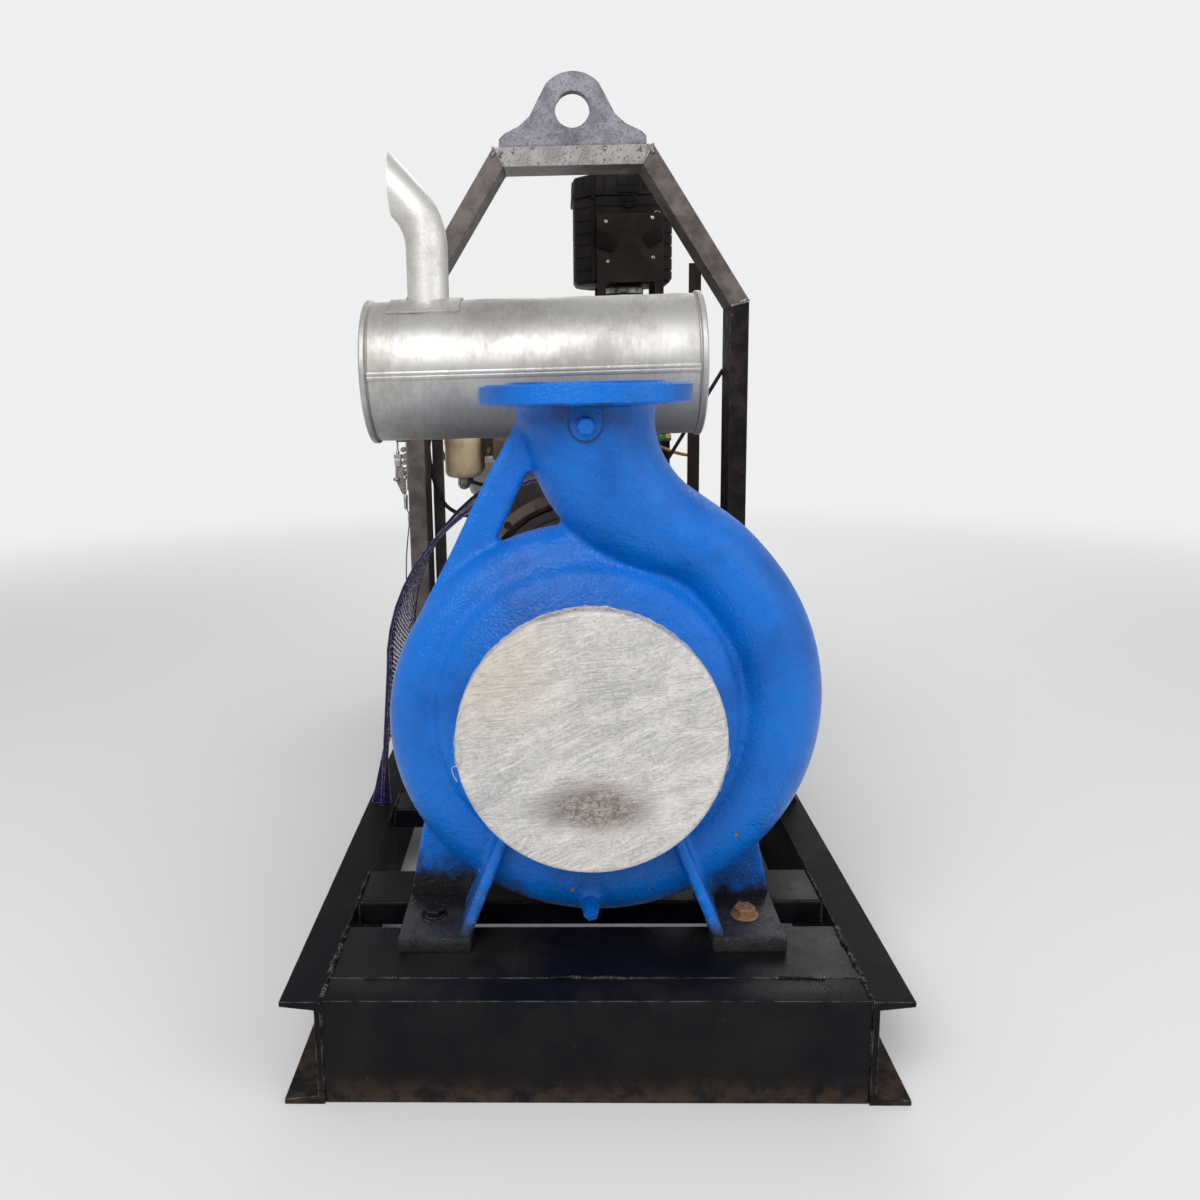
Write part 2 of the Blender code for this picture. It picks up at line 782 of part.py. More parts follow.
# bearing bracket, shaft and coupling

def makeBracket():
    start = drumHalfDepth + gap
    body = [(0.0, start), (0.232, start), (0.232, start + 0.018), (0.120, start + 0.022),
            (0.095, start + 0.070), (0.078, start + 0.110), (0.075, 0.300)]
    nose = [(bearingNose, 0.304), (bearingNose, 0.330), (0.060, 0.332), (0.060, 0.352), (0.0, 0.352)]
    bracket = revolve("bearing_bracket", body + nose, "Y", fromPump(0.0, 0.0, 0.0), 36)
    bore = cylinder("bore", shaftRadius + gap, fromPump(0.0, shaftFront, 0.0),
                    fromPump(0.0, shaftReach, 0.0), 32)
    cut(bracket, [bore])
    node(bracket, pumpBlue)


def makeBearingFoot():
    middle = secondBarFront + memberWidth / 2.0
    foot = -shaftZ + railTop + gap
    rear = middle - 0.045
    base = box("bearing_foot", fromPump(-0.080, rear, foot), fromPump(0.080, middle - 0.010, foot + 0.014))
    post = box("foot_post", fromPump(-0.035, rear, foot + 0.006), fromPump(0.035, rear + 0.016, 0.0))
    arm = box("foot_arm", fromPump(-0.035, 0.310, -0.110), fromPump(0.035, rear + 0.015, -0.060))
    seat = cylinder("bracket_seat", bearingNose + gap, fromPump(0.0, 0.250, 0.0),
                    fromPump(0.0, 0.600, 0.0), 48)
    join(base, [post, arm])
    cut(base, [seat])
    node(base, pumpBlue)


def makeShaft():
    start = fromPump(0.0, shaftFront + gap, 0.0)
    node(cylinder("pump_shaft", shaftRadius, start, fromPump(0.0, shaftReach, 0.0), 32), bareSteel)


def makeCoupling():
    """The flexible coupling on the pump shaft and the flywheel that it is bolted to."""
    half = shaftReach
    disc = housingBore - flywheelClearance
    rear = housingFace + housingHollow - gap
    profile = [(0.0, half - 0.105), (0.045, half - 0.105), (0.045, half - 0.030), (0.110, half - 0.025),
               (0.110, half + 0.015), (0.155, half + 0.020), (0.155, half + 0.070), (0.060, half + 0.075),
               (0.060, couplingRear - 0.035), (disc - 0.018, couplingRear - 0.030),
               (disc - 0.018, couplingRear),
               (disc, couplingRear + 0.002), (disc, couplingRear + 0.038), (0.060, couplingRear + 0.042),
               (0.060, rear), (0.0, rear)]
    body = revolve("coupling", profile, "Y", fromPump(0.0, 0.0, 0.0), 36)
    bore = cylinder("bore", shaftRadius + gap, fromPump(0.0, half - 0.150, 0.0),
                    fromPump(0.0, half + gap, 0.0), 32)
    cut(body, [bore])
    node(body, engineGrey)


# coupling guard

def guardOutline(inset, legEnd):
    """Half hoop with legs that lean out to the rails, set inwards by inset, from left to right."""
    foot = -shaftZ + railTop
    share = (legEnd + guardCentreDrop) / (foot + guardCentreDrop)
    reach = guardRadius + guardLean * share - inset
    spots = [(-reach, shaftZ + legEnd)]
    spots += [(-u, shaftZ + v) for u, v in arc(0.0, -guardCentreDrop, guardRadius - inset, 0.0, 180.0, 28)]
    return spots + [(reach, shaftZ + legEnd)]


def guardLength():
    """Length of the guard's sheet from one leg's end over the top to the other."""
    return math.pi * guardRadius + 2.0 * (guardMeshEnd() - guardCentreDrop)


def guardMeshEnd():
    """How far below the shaft the guard's sheet ends."""
    return shaftZ - railTop - guardFootHeight - 0.012


def guardSpot(inset, share):
    """A place on the guard's section, from the left leg's end at share 0 to the right leg's end at 1."""
    leg = (guardMeshEnd() - guardCentreDrop) / guardLength()
    side = -1.0 if share < 0.5 else 1.0
    rest = min(share, 1.0 - share)
    radius = guardRadius - inset
    if rest < leg:
        end = guardOutline(inset, -guardMeshEnd())[-1]
        part = rest / leg
        return (side * (end[0] + (radius - end[0]) * part),
                -guardMeshEnd() + (guardMeshEnd() - guardCentreDrop) * part)
    angle = math.pi * (rest - leg) / (1.0 - 2.0 * leg)
    return side * radius * math.cos(angle), -guardCentreDrop + radius * math.sin(angle)


def barsAndOpenings(length, count, bar, steps):
    """Places along a length that holds count openings between bars, and which spans are open."""
    opening = (length - bar * (count + 1)) / count
    places = [0.0]
    openSpans = []
    for _ in range(count):
        places.append(places[-1] + bar)
        openSpans.append(False)
        for _ in range(steps):
            places.append(places[-1] + opening / steps)
            openSpans.append(True)
    places.append(length)
    openSpans.append(False)
    return places, openSpans


def guardHoop(name, front):
    """One bent strap with its two flat feet on the rails."""
    foot = -shaftZ + railTop + gap
    outline = guardOutline(0.0, foot) + guardOutline(guardRimThickness, foot)[::-1]
    middle = pumpY + front + guardRimWidth / 2.0
    hoop = outlinePlate(name, [outline], guardRimWidth, "XZ", middle)
    feet = []
    for side in (-1.0, 1.0):
        low = guardRadius + guardLean
        flare = [(low + guardFootWidth / 2.0, foot), (low - guardFootWidth / 2.0, foot),
                 (guardRadius + guardLean / 2.0 - guardRimThickness / 2.0, foot + guardFootHeight),
                 (guardRadius + guardLean / 2.0 + guardRimThickness / 2.0, foot + guardFootHeight)]
        outline = [(side * u, shaftZ + v) for u, v in flare]
        feet.append(outlinePlate("foot", [outline], guardRimThickness, "XZ", middle))
    node(join(hoop, feet), guardPurple)


def makeGuard():
    guardHoop("guard_front_hoop", guardFront)
    guardHoop("guard_rear_hoop", guardRear - guardRimWidth)
    skin = guardRimThickness + guardMeshInset
    along, openAlong = barsAndOpenings(1.0, guardOpeningsAlong, guardBar / guardLength(), 3)
    across, openAcross = barsAndOpenings(guardRear - guardFront, guardOpeningsAcross, guardBar, 1)

    def solid(step, row):
        inside = 0 <= step < len(openAlong) and 0 <= row < len(openAcross)
        return inside and not (openAlong[step] and openAcross[row])

    def build(bm):
        layers = []
        for inset in (skin, skin + guardMeshThickness):
            spots = [guardSpot(inset, share) for share in along]
            layers.append([[bm.verts.new((u, pumpY + guardFront + place, shaftZ + v)) for place in across]
                           for u, v in spots])
        outer, inner = layers
        for step in range(len(along)):
            for row in range(len(across)):
                here = solid(step, row)
                if here:
                    for layer in layers:
                        bm.faces.new((layer[step][row], layer[step + 1][row], layer[step + 1][row + 1],
                                      layer[step][row + 1]))
                if here != solid(step - 1, row):
                    bm.faces.new((outer[step][row], outer[step][row + 1], inner[step][row + 1],
                                  inner[step][row]))
                if here != solid(step, row - 1):
                    bm.faces.new((outer[step][row], outer[step + 1][row], inner[step + 1][row],
                                  inner[step][row]))

    node(meshObject("guard_mesh", build), guardPurple)


# engine

def makeHousing():
    face = housingFace
    outer = [(0.0, face), (housingRing, face), (housingRing, face + 0.014),
             (housingBodyRadius, face + 0.020), (housingBodyRadius, housingRear), (0.0, housingRear)]
    body = revolve("flywheel_housing", outer, "Y", fromPump(0.0, 0.0, 0.0), 44)
    opening = cylinder("opening", housingBore, fromPump(0.0, face - 0.010, 0.0),
                       fromPump(0.0, face + housingHollow, 0.0), 44)
    cut(body, [opening])
    node(body, engineGrey)


def makeEngineBlock():
    start = housingRear + gap
    end = start + blockLength
    width = blockHalfWidth
    node(box("engine_block", fromPump(-width, start, blockBottom), fromPump(width, end, blockTop), 0.010),
         engineGrey)
    node(box("oil_sump", fromPump(-sumpHalfWidth, start + 0.010, sumpBottom),
             fromPump(sumpHalfWidth, end - 0.010, blockBottom - gap), 0.012), engineGrey)
    headTop = blockTop + headHeight
    node(box("cylinder_head", fromPump(-headHalfWidth, start + 0.006, blockTop + gap),
             fromPump(headHalfWidth, end - 0.006, headTop), 0.006), engineGrey)
    node(box("rocker_cover", fromPump(-rockerHalfWidth, start + 0.020, headTop + gap),
             fromPump(rockerHalfWidth, end - 0.020, headTop + rockerHeight), 0.018), engineGrey)
    node(boxBetween("intake_manifold", (headHalfWidth + gap, start + 0.040, intakeTop - 0.060),
                    (ductX + ductRadius + 0.003, end - 0.040, intakeTop), 0.012), engineGrey)


def makeSideUnits():
    """Starter motor, oil filter and the pair of fuel filters, each on what carries it."""
    start = housingRear + gap
    across = starterX
    starter = cylinder("starter_motor", 0.045, fromPump(across, start, -0.015),
                       fromPump(across, start + 0.190, -0.015))
    solenoid = cylinder("solenoid", 0.026, fromPump(across + 0.004, start + 0.012, 0.050),
                        fromPump(across + 0.004, start + 0.115, 0.050), 24)
    nose = cylinder("nose", 0.014, fromPump(across, start + 0.180, -0.015),
                    fromPump(across, start + 0.205, -0.015), 20)
    node(join(starter, [solenoid, nose]), engineGrey)
    side = blockHalfWidth + gap
    middle = housingRear + blockLength / 2.0 + oilFilterOffset
    line = side + 0.062
    can = cylinder("oil_filter", 0.046, fromPump(line, middle, -0.160), fromPump(line, middle, -0.030))
    base = boxBetween("base", (side, middle - 0.035, -0.034), (side + 0.090, middle + 0.035, -0.004))
    node(join(can, [base]), engineGrey)
    front = frameY + memberWidth / 2.0 + fuelFilterRadius + 0.002
    head = boxBetween("fuel_filters", (-headHalfWidth - gap, front - 0.030, fuelFilterHead),
                      (fuelFilterX - fuelFilterRadius, front + fuelFilterPitch + 0.030,
                       fuelFilterHead + 0.040))
    cans = []
    for count in range(2):
        middle = front + fuelFilterPitch * count
        shell = [(0.0, fuelFilterBottom), (0.030, fuelFilterBottom),
                 (fuelFilterRadius, fuelFilterBottom + 0.010), (fuelFilterRadius, fuelFilterHead + 0.004),
                 (0.0, fuelFilterHead + 0.004)]
        cans.append(revolve("can", shell, "Z", fromPump(fuelFilterX, middle, 0.0), 28))
        cans.append(cylinder("drain", 0.0145, fromPump(fuelFilterX, middle, fuelFilterBottom - 0.028),
                             fromPump(fuelFilterX, middle, fuelFilterBottom + 0.003), 16))
    node(join(head, cans), canisterCream)


def makeThrottle():
    """The throttle lever on the left post, with the rod that runs down from it."""
    post = -frameHalfWidth - gap
    front = frameY - memberWidth / 2.0 + 0.012
    pivot = front + 0.018
    plate = boxBetween("throttle_linkage", (post - 0.005, front, 0.222), (post, front + 0.040, 0.332))
    boss = cylinder("boss", 0.007, fromPump(post - 0.002, pivot, 0.264),
                    fromPump(post - 0.035, pivot, 0.264), 16)
    block = boxBetween("block", (post - 0.034, pivot - 0.008, 0.272), (post - 0.016, pivot + 0.008, 0.304))
    stem = cylinder("stem", 0.003, fromPump(post - 0.026, pivot, 0.260),
                    fromPump(post - 0.026, pivot, 0.345), 10)
    lever = outlinePlate("lever", [[(post - 0.034, shaftZ + 0.276), (post - 0.014, shaftZ + 0.276),
                                    (post - 0.003, shaftZ + 0.226), (post - 0.009, shaftZ + 0.224),
                                    (post - 0.034, shaftZ + 0.254)]], 0.006, "XZ", pumpY + pivot)
    route = [(post - 0.006, 0.236), (post - 0.005, 0.172), (post - 0.011, 0.090), (post - 0.014, 0.010),
             (post - 0.012, -0.100), (post - 0.006, -0.200), (post - 0.003, -0.260)]
    rod = tube("rod", [fromPump(u, pivot, v) for u, v in route], 0.0022, 2)
    foot = boxBetween("foot", (post - 0.010, pivot - 0.008, -0.270), (post, pivot + 0.008, -0.250))
    node(join(plate, [boss, block, stem, lever, rod, foot]), frameGrey)


def pulleyGroove(radius, face):
    """Profile of one flanged V pulley whose rear side lies at face."""
    return [(radius + 0.008, face + 0.012), (radius, face + 0.017), (radius, face + 0.031),
            (radius + 0.008, face + 0.036)]


def makeFrontEnd():
    """Timing case, crank pulley, fan with its hub, alternator, and the belt round the three pulleys."""
    start = engineRear + 2.0 * gap
    node(box("timing_case", fromPump(-caseHalfWidth, start, blockBottom),
             fromPump(caseHalfWidth, start + caseDepth, blockTop - 0.020), 0.012), engineGrey)
    face = start + caseDepth + gap
    crank = [(0.0, face), (0.030, face), (0.030, face + 0.012)] + pulleyGroove(crankPulleyRadius, face)
    crank.append((0.0, face + 0.036))
    node(revolve("crank_pulley", crank, "Y", fromPump(0.0, 0.0, 0.0), 32), engineGrey)
    hub = [(0.0, face), (0.022, face), (0.022, face + 0.012)] + pulleyGroove(fanPulleyRadius, face)
    hub += [(0.040, face + 0.038), (0.040, fanPlane - 0.014), (0.072, fanPlane - 0.012),
            (0.072, fanPlane + 0.012), (0.0, fanPlane + 0.012)]
    fan = revolve("radiator_fan", hub, "Y", fromPump(0.0, 0.0, fanHeight), 28)
    blades = []
    for count in range(fanBlades):
        blade = box("blade", (0.062, -0.002, -0.024), (fanRadius, 0.002, 0.024))
        blade.data.transform(Matrix.Translation(blade.location))
        blade.data.transform(Matrix.Rotation(math.radians(24.0), 4, "X"))
        spin = Matrix.Rotation(turn * count / fanBlades, 4, "Y")
        blade.matrix_world = Matrix.Translation(fromPump(0.0, fanPlane, fanHeight)) @ spin
        blades.append(blade)
    node(join(fan, blades), blackPlastic)
    makeAlternator(face)
    makeBelt(beltPlane)


def makeAlternator(face):
    """Alternator beside the block, with its pulley in the belt's plane and a lug to the block."""
    rear = engineRear - 0.055
    body = [(0.0, rear), (alternatorRadius - 0.010, rear), (alternatorRadius, rear + 0.012),
            (alternatorRadius, rear + 0.098), (alternatorRadius - 0.014, rear + 0.112),
            (0.010, rear + 0.112), (0.010, face + 0.012)]
    profile = body + pulleyGroove(alternatorPulleyRadius, face) + [(0.0, face + 0.036)]
    unit = revolve("alternator", profile, "Y", fromPump(alternatorX, 0.0, alternatorZ), 28)
    lug = boxBetween("lug", (-blockHalfWidth - gap, rear + 0.010, alternatorZ - 0.020),
                     (alternatorX, rear + 0.045, alternatorZ + 0.020))
    node(join(unit, [lug]), engineGrey)


def hullOutline(spots):
    """The outline of a band stretched round some places, from the lowest one round."""
    start = min(spots, key=lambda spot: (spot[1], spot[0]))
    outline = [start]
    heading = 0.0
    while True:
        here = outline[-1]
        best = None
        for spot in spots:
            reach = math.hypot(spot[0] - here[0], spot[1] - here[1])
            if reach < 0.00001:
                continue
            bend = (math.atan2(spot[1] - here[1], spot[0] - here[0]) - heading) % turn
            if best is None or (bend, -reach) < best[:2]:
                best = (bend, -reach, spot)
        heading += best[0]
        if math.hypot(best[2][0] - start[0], best[2][1] - start[1]) < 0.00001:
            return outline
        outline.append(best[2])


def makeBelt(place):
    """One V belt round the crank, fan and alternator pulleys."""
    def loop(extra):
        spots = ring(crankPulleyRadius + extra, 48) + ring(fanPulleyRadius + extra, 48, 0.0, fanHeight)
        spots += ring(alternatorPulleyRadius + extra, 48, alternatorX, alternatorZ)
        return [(u, shaftZ + v) for u, v in hullOutline(spots)]

    belt = outlinePlate("fan_belt", [loop(beltThickness), loop(2.0 * gap)], 0.010, "XZ", pumpY + place)
    node(belt, blackRubber)


def makeRadiator():
    front = radiatorY
    rear = radiatorY + radiatorDepth
    bottom = radiatorBottom
    top = radiatorTop
    wide = radiatorHalfWidth
    node(box("radiator_core", fromPump(-wide + 0.030, front + 0.010, bottom + 0.050),
             fromPump(wide - 0.030, rear - 0.010, top - 0.060)), engineGrey, False)
    tank = box("radiator_top_tank", fromPump(-wide + 0.020, front - 0.004, top - 0.060 + gap),
               fromPump(wide - 0.020, rear + 0.004, top), 0.012)
    middle = (front + rear) / 2.0
    neck = cylinder("neck", 0.028, fromPump(0.120, middle, top - 0.010),
                    fromPump(0.120, middle, top + 0.030), 24)
    inlet = cylinder("inlet", hoseRadius + 0.003, fromPump(topHoseX, front + 0.010, top - 0.030),
                     fromPump(topHoseX, front - 0.040, top - 0.030), 20)
    node(join(tank, [neck, inlet]), skidBlack)
    frame = box("radiator_frame", fromPump(-wide + 0.010, front - 0.004, bottom),
                fromPump(wide - 0.010, rear + 0.004, bottom + 0.050 - gap), 0.010)
    pieces = [cylinder("outlet", hoseRadius + 0.003, fromPump(bottomHoseX, front + 0.010, bottom + 0.026),
                       fromPump(bottomHoseX, front - 0.040, bottom + 0.026), 20)]
    foot = -shaftZ + railTop + gap
    for side in (-1.0, 1.0):
        inner = side * (wide - 0.030 + gap)
        pieces.append(boxBetween("post", (inner, front, foot), (side * wide, rear, top - 0.060 - gap)))
        pieces.append(boxBetween("foot", (inner, front, foot),
                                 (side * (railInner - gap), rear, foot + 0.008)))
    node(join(frame, pieces), skidBlack)


def makeHoses():
    """Top and bottom hoses between the radiator and the engine."""
    end = radiatorY - 0.040 - gap
    start = engineRear - 0.006 + 2.0 * gap
    level = radiatorTop - 0.030
    upper = [(-0.075, start, 0.305), (-0.075, start + 0.035, 0.305), (-0.095, start + 0.080, 0.350),
             (topHoseX + 0.020, start + 0.120, level - 0.018), (topHoseX, start + 0.150, level - 0.002),
             (topHoseX, start + 0.190, level), (topHoseX, end, level)]
    node(tube("radiator_top_hose", [fromPump(*spot) for spot in upper], hoseRadius, 4), blackRubber)
    low = radiatorBottom + 0.026
    case = engineRear + caseDepth / 2.0 + 2.0 * gap
    lower = [(bottomHoseX, end, low), (bottomHoseX, end - 0.085, low),
             (bottomHoseX + 0.024, end - 0.150, low + 0.028),
             (bottomHoseX + 0.035, case + 0.035, low + 0.090),
             (bottomHoseX + 0.026, case + 0.004, -0.006), (0.165, case, 0.000),
             (caseHalfWidth + gap, case, 0.000)]
    node(tube("radiator_bottom_hose", [fromPump(*spot) for spot in lower], hoseRadius, 4), blackRubber)


def makeShroud():
    """A square funnel round the fan, open at both ends."""
    front = fanPlane - 0.030
    rear = radiatorY + 0.010 - gap
    wide = radiatorHalfWidth - 0.035
    low = radiatorBottom + 0.055
    high = radiatorTop - 0.066
    wall = 0.006
    shell = cylinder("fan_shroud", fanRadius + 0.030, fromPump(0.0, front, fanHeight),
                     fromPump(0.0, front + 0.070, fanHeight), 48)
    square = box("square", fromPump(-wide, front + 0.045, low), fromPump(wide, rear, high))
    join(shell, [square])
    opening = cylinder("opening", fanRadius + 0.022, fromPump(0.0, front - 0.010, fanHeight),
                       fromPump(0.0, front + 0.060, fanHeight), 48)
    inside = box("inside", fromPump(-wide + wall, front + 0.053, low + wall),
                 fromPump(wide - wall, rear + 0.010, high - wall))
    cut(shell, [opening, inside])
    node(shell, blackPlastic)


# silencer and stack

def silencerLine():
    """Centre and direction of the silencer."""
    along = Vector((math.cos(silencerTilt), 0.0, math.sin(silencerTilt)))
    return fromPump(silencerX, silencerY, silencerZ), along


def makeSilencer():
    centre = silencerLine()[0]
    half = silencerLength / 2.0
    radius = silencerRadius
    rim = radius + silencerRim
    end = [(0.0, -half + 0.006), (radius - 0.012, -half + 0.006), (radius - 0.006, -half), (rim, -half),
           (rim, -half + 0.010), (radius, -half + 0.013)]
    profile = end + [(size, -along) for size, along in reversed(end)]
    body = revolve("silencer", profile, "X", (0.0, 0.0, 0.0), 44)
    tilt = Matrix.Rotation(-silencerTilt, 4, "Y")
    body.matrix_world = Matrix.Translation(centre) @ tilt @ body.matrix_world
    node(body, brushed)


def silencerSkin(clearance):
    """A cutter with the silencer's own shell, a little larger."""
    centre, along = silencerLine()
    half = silencerLength / 2.0 + 0.050
    return cylinder("skin", silencerRadius + clearance, centre - along * half, centre + along * half, 56)


def stackPath(extra):
    """Centre line of the stack: up out of the silencer, then round towards the left."""
    spots = [fromPump(stackX, silencerY, silencerZ + silencerRadius * 0.6 - extra)]
    bend = arc(stackX - stackBendRadius, stackBendStart, stackBendRadius, 0.0, stackBendAngle, 9)
    spots += [fromPump(u, silencerY, v) for u, v in bend]
    direction = (spots[-1] - spots[-2]).normalized()
    spots.append(spots[-1] + direction * (stackTail + extra))
    return spots


def makeStack():
    body = tube("exhaust_stack", stackPath(0.0), stackRadius, 6)
    centre = fromPump(stackX, silencerY, silencerZ)
    saddle = cylinder("saddle", silencerRadius + 0.005, centre - Vector((saddleLength / 2.0, 0.0, 0.0)),
                      centre + Vector((saddleLength / 2.0, 0.0, 0.0)), 56)
    keep = box("keep", centre + Vector((-0.2, -0.060, silencerRadius * 0.75)),
               centre + Vector((0.2, 0.060, 0.3)))
    combine(saddle, [keep], "INTERSECT")
    join(body, [saddle])
    bore = tube("bore", stackPath(0.02), stackRadius - stackWall, 5)
    beyond = box("beyond", fromPump(stackCut - 0.3, silencerY - 0.2, 0.6),
                 fromPump(stackCut, silencerY + 0.2, 1.2))
    cut(body, [bore, beyond, silencerSkin(gap)])
    node(body, brushed)


def makeSilencerArms():
    """Two posts with arms that run forward to a quarter band behind and under the silencer."""
    bar = housingRear + mountInset + 0.006
    low = -shaftZ + railTop + gap
    posts = (("left", silencerX - 0.234, bar, low),
             ("right", silencerX + 0.176, housingFace + 0.069, 0.050))
    for word, middle, face, bottom in posts:
        first = middle - armWidth / 2.0
        last = middle + armWidth / 2.0
        band = cylinder("silencer_arm_" + word, silencerRadius + 0.006,
                        fromPump(first, silencerY, silencerZ), fromPump(last, silencerY, silencerZ), 44)
        upper = boxBetween("upper", (first - 0.1, silencerY - 0.2, silencerZ - 0.002),
                           (last + 0.1, silencerY + 0.2, silencerZ + 0.2))
        ahead = boxBetween("ahead", (first - 0.1, silencerY - 0.3, silencerZ - 0.3),
                           (last + 0.1, silencerY + 0.004, silencerZ + 0.3))
        cut(band, [upper, ahead])
        arm = boxBetween("arm", (first, silencerY + 0.060, silencerZ - 0.100),
                         (last, face + 0.016, silencerZ - 0.084))
        post = boxBetween("post", (first, face, bottom), (last, face + 0.016, silencerZ - 0.090))
        join(band, [arm, post])
        seat = cylinder("seat", housingBodyRadius + gap, fromPump(0.0, housingFace - 0.070, 0.0),
                        fromPump(0.0, housingRear + gap, 0.0), 44)
        cut(band, [silencerSkin(gap), seat])
        node(band, frameGrey)


def makeExhaust():
    """Manifold on the head's left side and the pipe from it to the back of the silencer."""
    start = housingRear + 0.050
    level = blockTop + 0.055
    side = -headHalfWidth - gap
    line = side - 0.046
    outlet = start + 0.230
    manifold = box("exhaust_manifold", fromPump(side - 0.070, start, level - 0.028),
                   fromPump(side - 0.022, start + 0.460, level + 0.028), 0.010)
    ports = []
    for count in range(4):
        middle = start + 0.055 + 0.116 * count
        ports.append(box("port", fromPump(side - 0.030, middle - 0.024, level - 0.024),
                         fromPump(side, middle + 0.024, level + 0.024)))
    riser = cylinder("riser", 0.030, fromPump(line, outlet, level),
                     fromPump(line, outlet, level + 0.060), 28)
    node(join(manifold, ports + [riser]), engineGrey)
    low = fromPump(line, outlet, level + 0.060 + gap)
    route = [low, low + Vector((0.0, 0.0, 0.070)), low + Vector((0.0, -0.020, 0.110)),
             low + Vector((0.0, -0.060, 0.130))]
    route.append(Vector((low.x, fromPump(0.0, silencerY + silencerRadius * 0.6, 0.0).y, low.z + 0.132)))
    pipe = tube("exhaust_pipe", route, 0.026, 4)
    cut(pipe, [silencerSkin(gap)])
    node(pipe, engineGrey)


# air filter

def filterPlan(extra):
    """Plan of the air filter: a box with its four corners cut off, larger all round by extra."""
    wide = filterHalfWidth + extra
    front = filterY - extra
    rear = filterY + filterDepth + extra
    corner = filterCorner
    right = [(wide, front + corner), (wide, rear - corner), (wide - corner, rear)]
    left = [(-wide + corner, rear), (-wide, rear - corner), (-wide, front + corner)]
    plan = [(-wide + corner, front), (wide - corner, front)] + right + left
    return [(filterX + u, pumpY + v) for u, v in plan]


def makeFilter():
    low = shaftZ + filterBottom
    high = shaftZ + filterBodyTop
    body = outlinePlate("air_filter_body", [filterPlan(0.0)], high - low, "XY", (low + high) / 2.0)
    node(body, blackPlastic)
    top = shaftZ + filterLidTop
    middle = (top + high + gap) / 2.0
    lid = outlinePlate("air_filter_lid", [filterPlan(0.006)], top - high - gap, "XY", middle)
    node(lid, blackPlastic)
    duct = filterY + 0.110
    route = [(filterX, filterBottom - gap), (filterX, shelfTop - 0.050), (ductX - 0.006, shelfTop - 0.120),
             (ductX, shelfTop - 0.170), (ductX, intakeTop + gap)]
    hose = tube("air_filter_duct", [fromPump(u, duct, v) for u, v in route], ductRadius, 6)
    collar = cylinder("collar", outletRadius, fromPump(filterX, duct, shelfTop + 0.006),
                      fromPump(filterX, duct, filterBottom - gap), 32)
    node(join(hose, [collar]), blackRubber)
    makeStand(duct)


def makeStand(duct):
    """Upright on the front engine bar, with the filter's shelf and the plate in front of the filter."""
    bar = housingRear + mountInset + memberWidth - 0.012
    foot = -shaftZ + railTop + gap
    right = standX + standWidth
    face = filterY - gap
    upright = boxBetween("air_filter_stand", (standX, bar, foot), (right, bar + standThickness, standTop))
    shelf = boxBetween("shelf", (plateLeft, bar, shelfTop - 0.008), (right, filterY + 0.180, shelfTop))
    plate = boxBetween("plate", (plateLeft, face - 0.004, filterBottom), (plateRight, face, plateTop))
    pieces = [shelf, plate]
    for edge, inner in ((plateLeft, plateLeft + 0.020), (plateRight, plateRight - 0.020)):
        pieces.append(boxBetween("tab", (edge, face - 0.004, shelfTop - 0.004),
                                 (inner, face, filterBottom + 0.004)))
        pieces.append(boxBetween("stand_off", (edge, filterY + 0.150, shelfTop - 0.004),
                                 (inner, filterY + 0.175, filterBottom - gap)))
    join(upright, pieces)
    clear = cylinder("clear", ductRadius + 0.002, fromPump(filterX, duct, shelfTop + 0.004),
                     fromPump(filterX, duct, shelfTop - 0.050), 28)
    cut(upright, [clear])
    node(upright, frameGrey)


def main():
    makeRails()
    makeEndChannels()
    makeFootPlate()
    makeCrossBars()
    makeLiftingFrame()
    makeLug()
    makeCasing()
    makeFilm()
    makePlugs()
    makeBracket()
    makeBearingFoot()
    makeShaft()
    makeCoupling()
    makeGuard()
    makeHousing()
    makeEngineBlock()
    makeSideUnits()
    makeThrottle()
    makeFrontEnd()
    makeRadiator()
    makeShroud()
    makeHoses()
    makeSilencer()
    makeStack()
    makeSilencerArms()
    makeExhaust()
    makeFilter()


main()
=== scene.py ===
import bpy
import bmesh
import math
import random
from mathutils import Matrix, Vector, noise


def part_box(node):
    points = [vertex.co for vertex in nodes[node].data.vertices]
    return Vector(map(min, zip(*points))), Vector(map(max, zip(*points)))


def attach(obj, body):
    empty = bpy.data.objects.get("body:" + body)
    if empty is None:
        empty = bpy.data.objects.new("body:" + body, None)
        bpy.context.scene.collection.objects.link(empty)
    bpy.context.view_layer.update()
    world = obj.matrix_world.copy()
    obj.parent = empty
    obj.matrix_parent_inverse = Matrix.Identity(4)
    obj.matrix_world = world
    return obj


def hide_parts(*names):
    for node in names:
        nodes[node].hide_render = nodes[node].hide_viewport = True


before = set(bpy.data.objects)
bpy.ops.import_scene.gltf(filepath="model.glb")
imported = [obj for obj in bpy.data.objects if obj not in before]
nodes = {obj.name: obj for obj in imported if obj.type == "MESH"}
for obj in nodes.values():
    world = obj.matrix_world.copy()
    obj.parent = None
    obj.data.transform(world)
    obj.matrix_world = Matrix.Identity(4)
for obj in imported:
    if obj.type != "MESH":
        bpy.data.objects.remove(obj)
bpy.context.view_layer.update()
scene = bpy.context.scene
turn = 2.0 * math.pi
pumpY = -0.835  # discharge plane of the pump
shaftZ = 0.463
railTop = 0.144
up, down, rearward, forward = (0.0, 0.0, 1.0), (0.0, 0.0, -1.0), (0.0, 1.0, 0.0), (0.0, -1.0, 0.0)
leftward, rightward = (-1.0, 0.0, 0.0), (1.0, 0.0, 0.0)
bothSides = (-1.0, 1.0)
print("frame loaded,", len(nodes), "nodes")

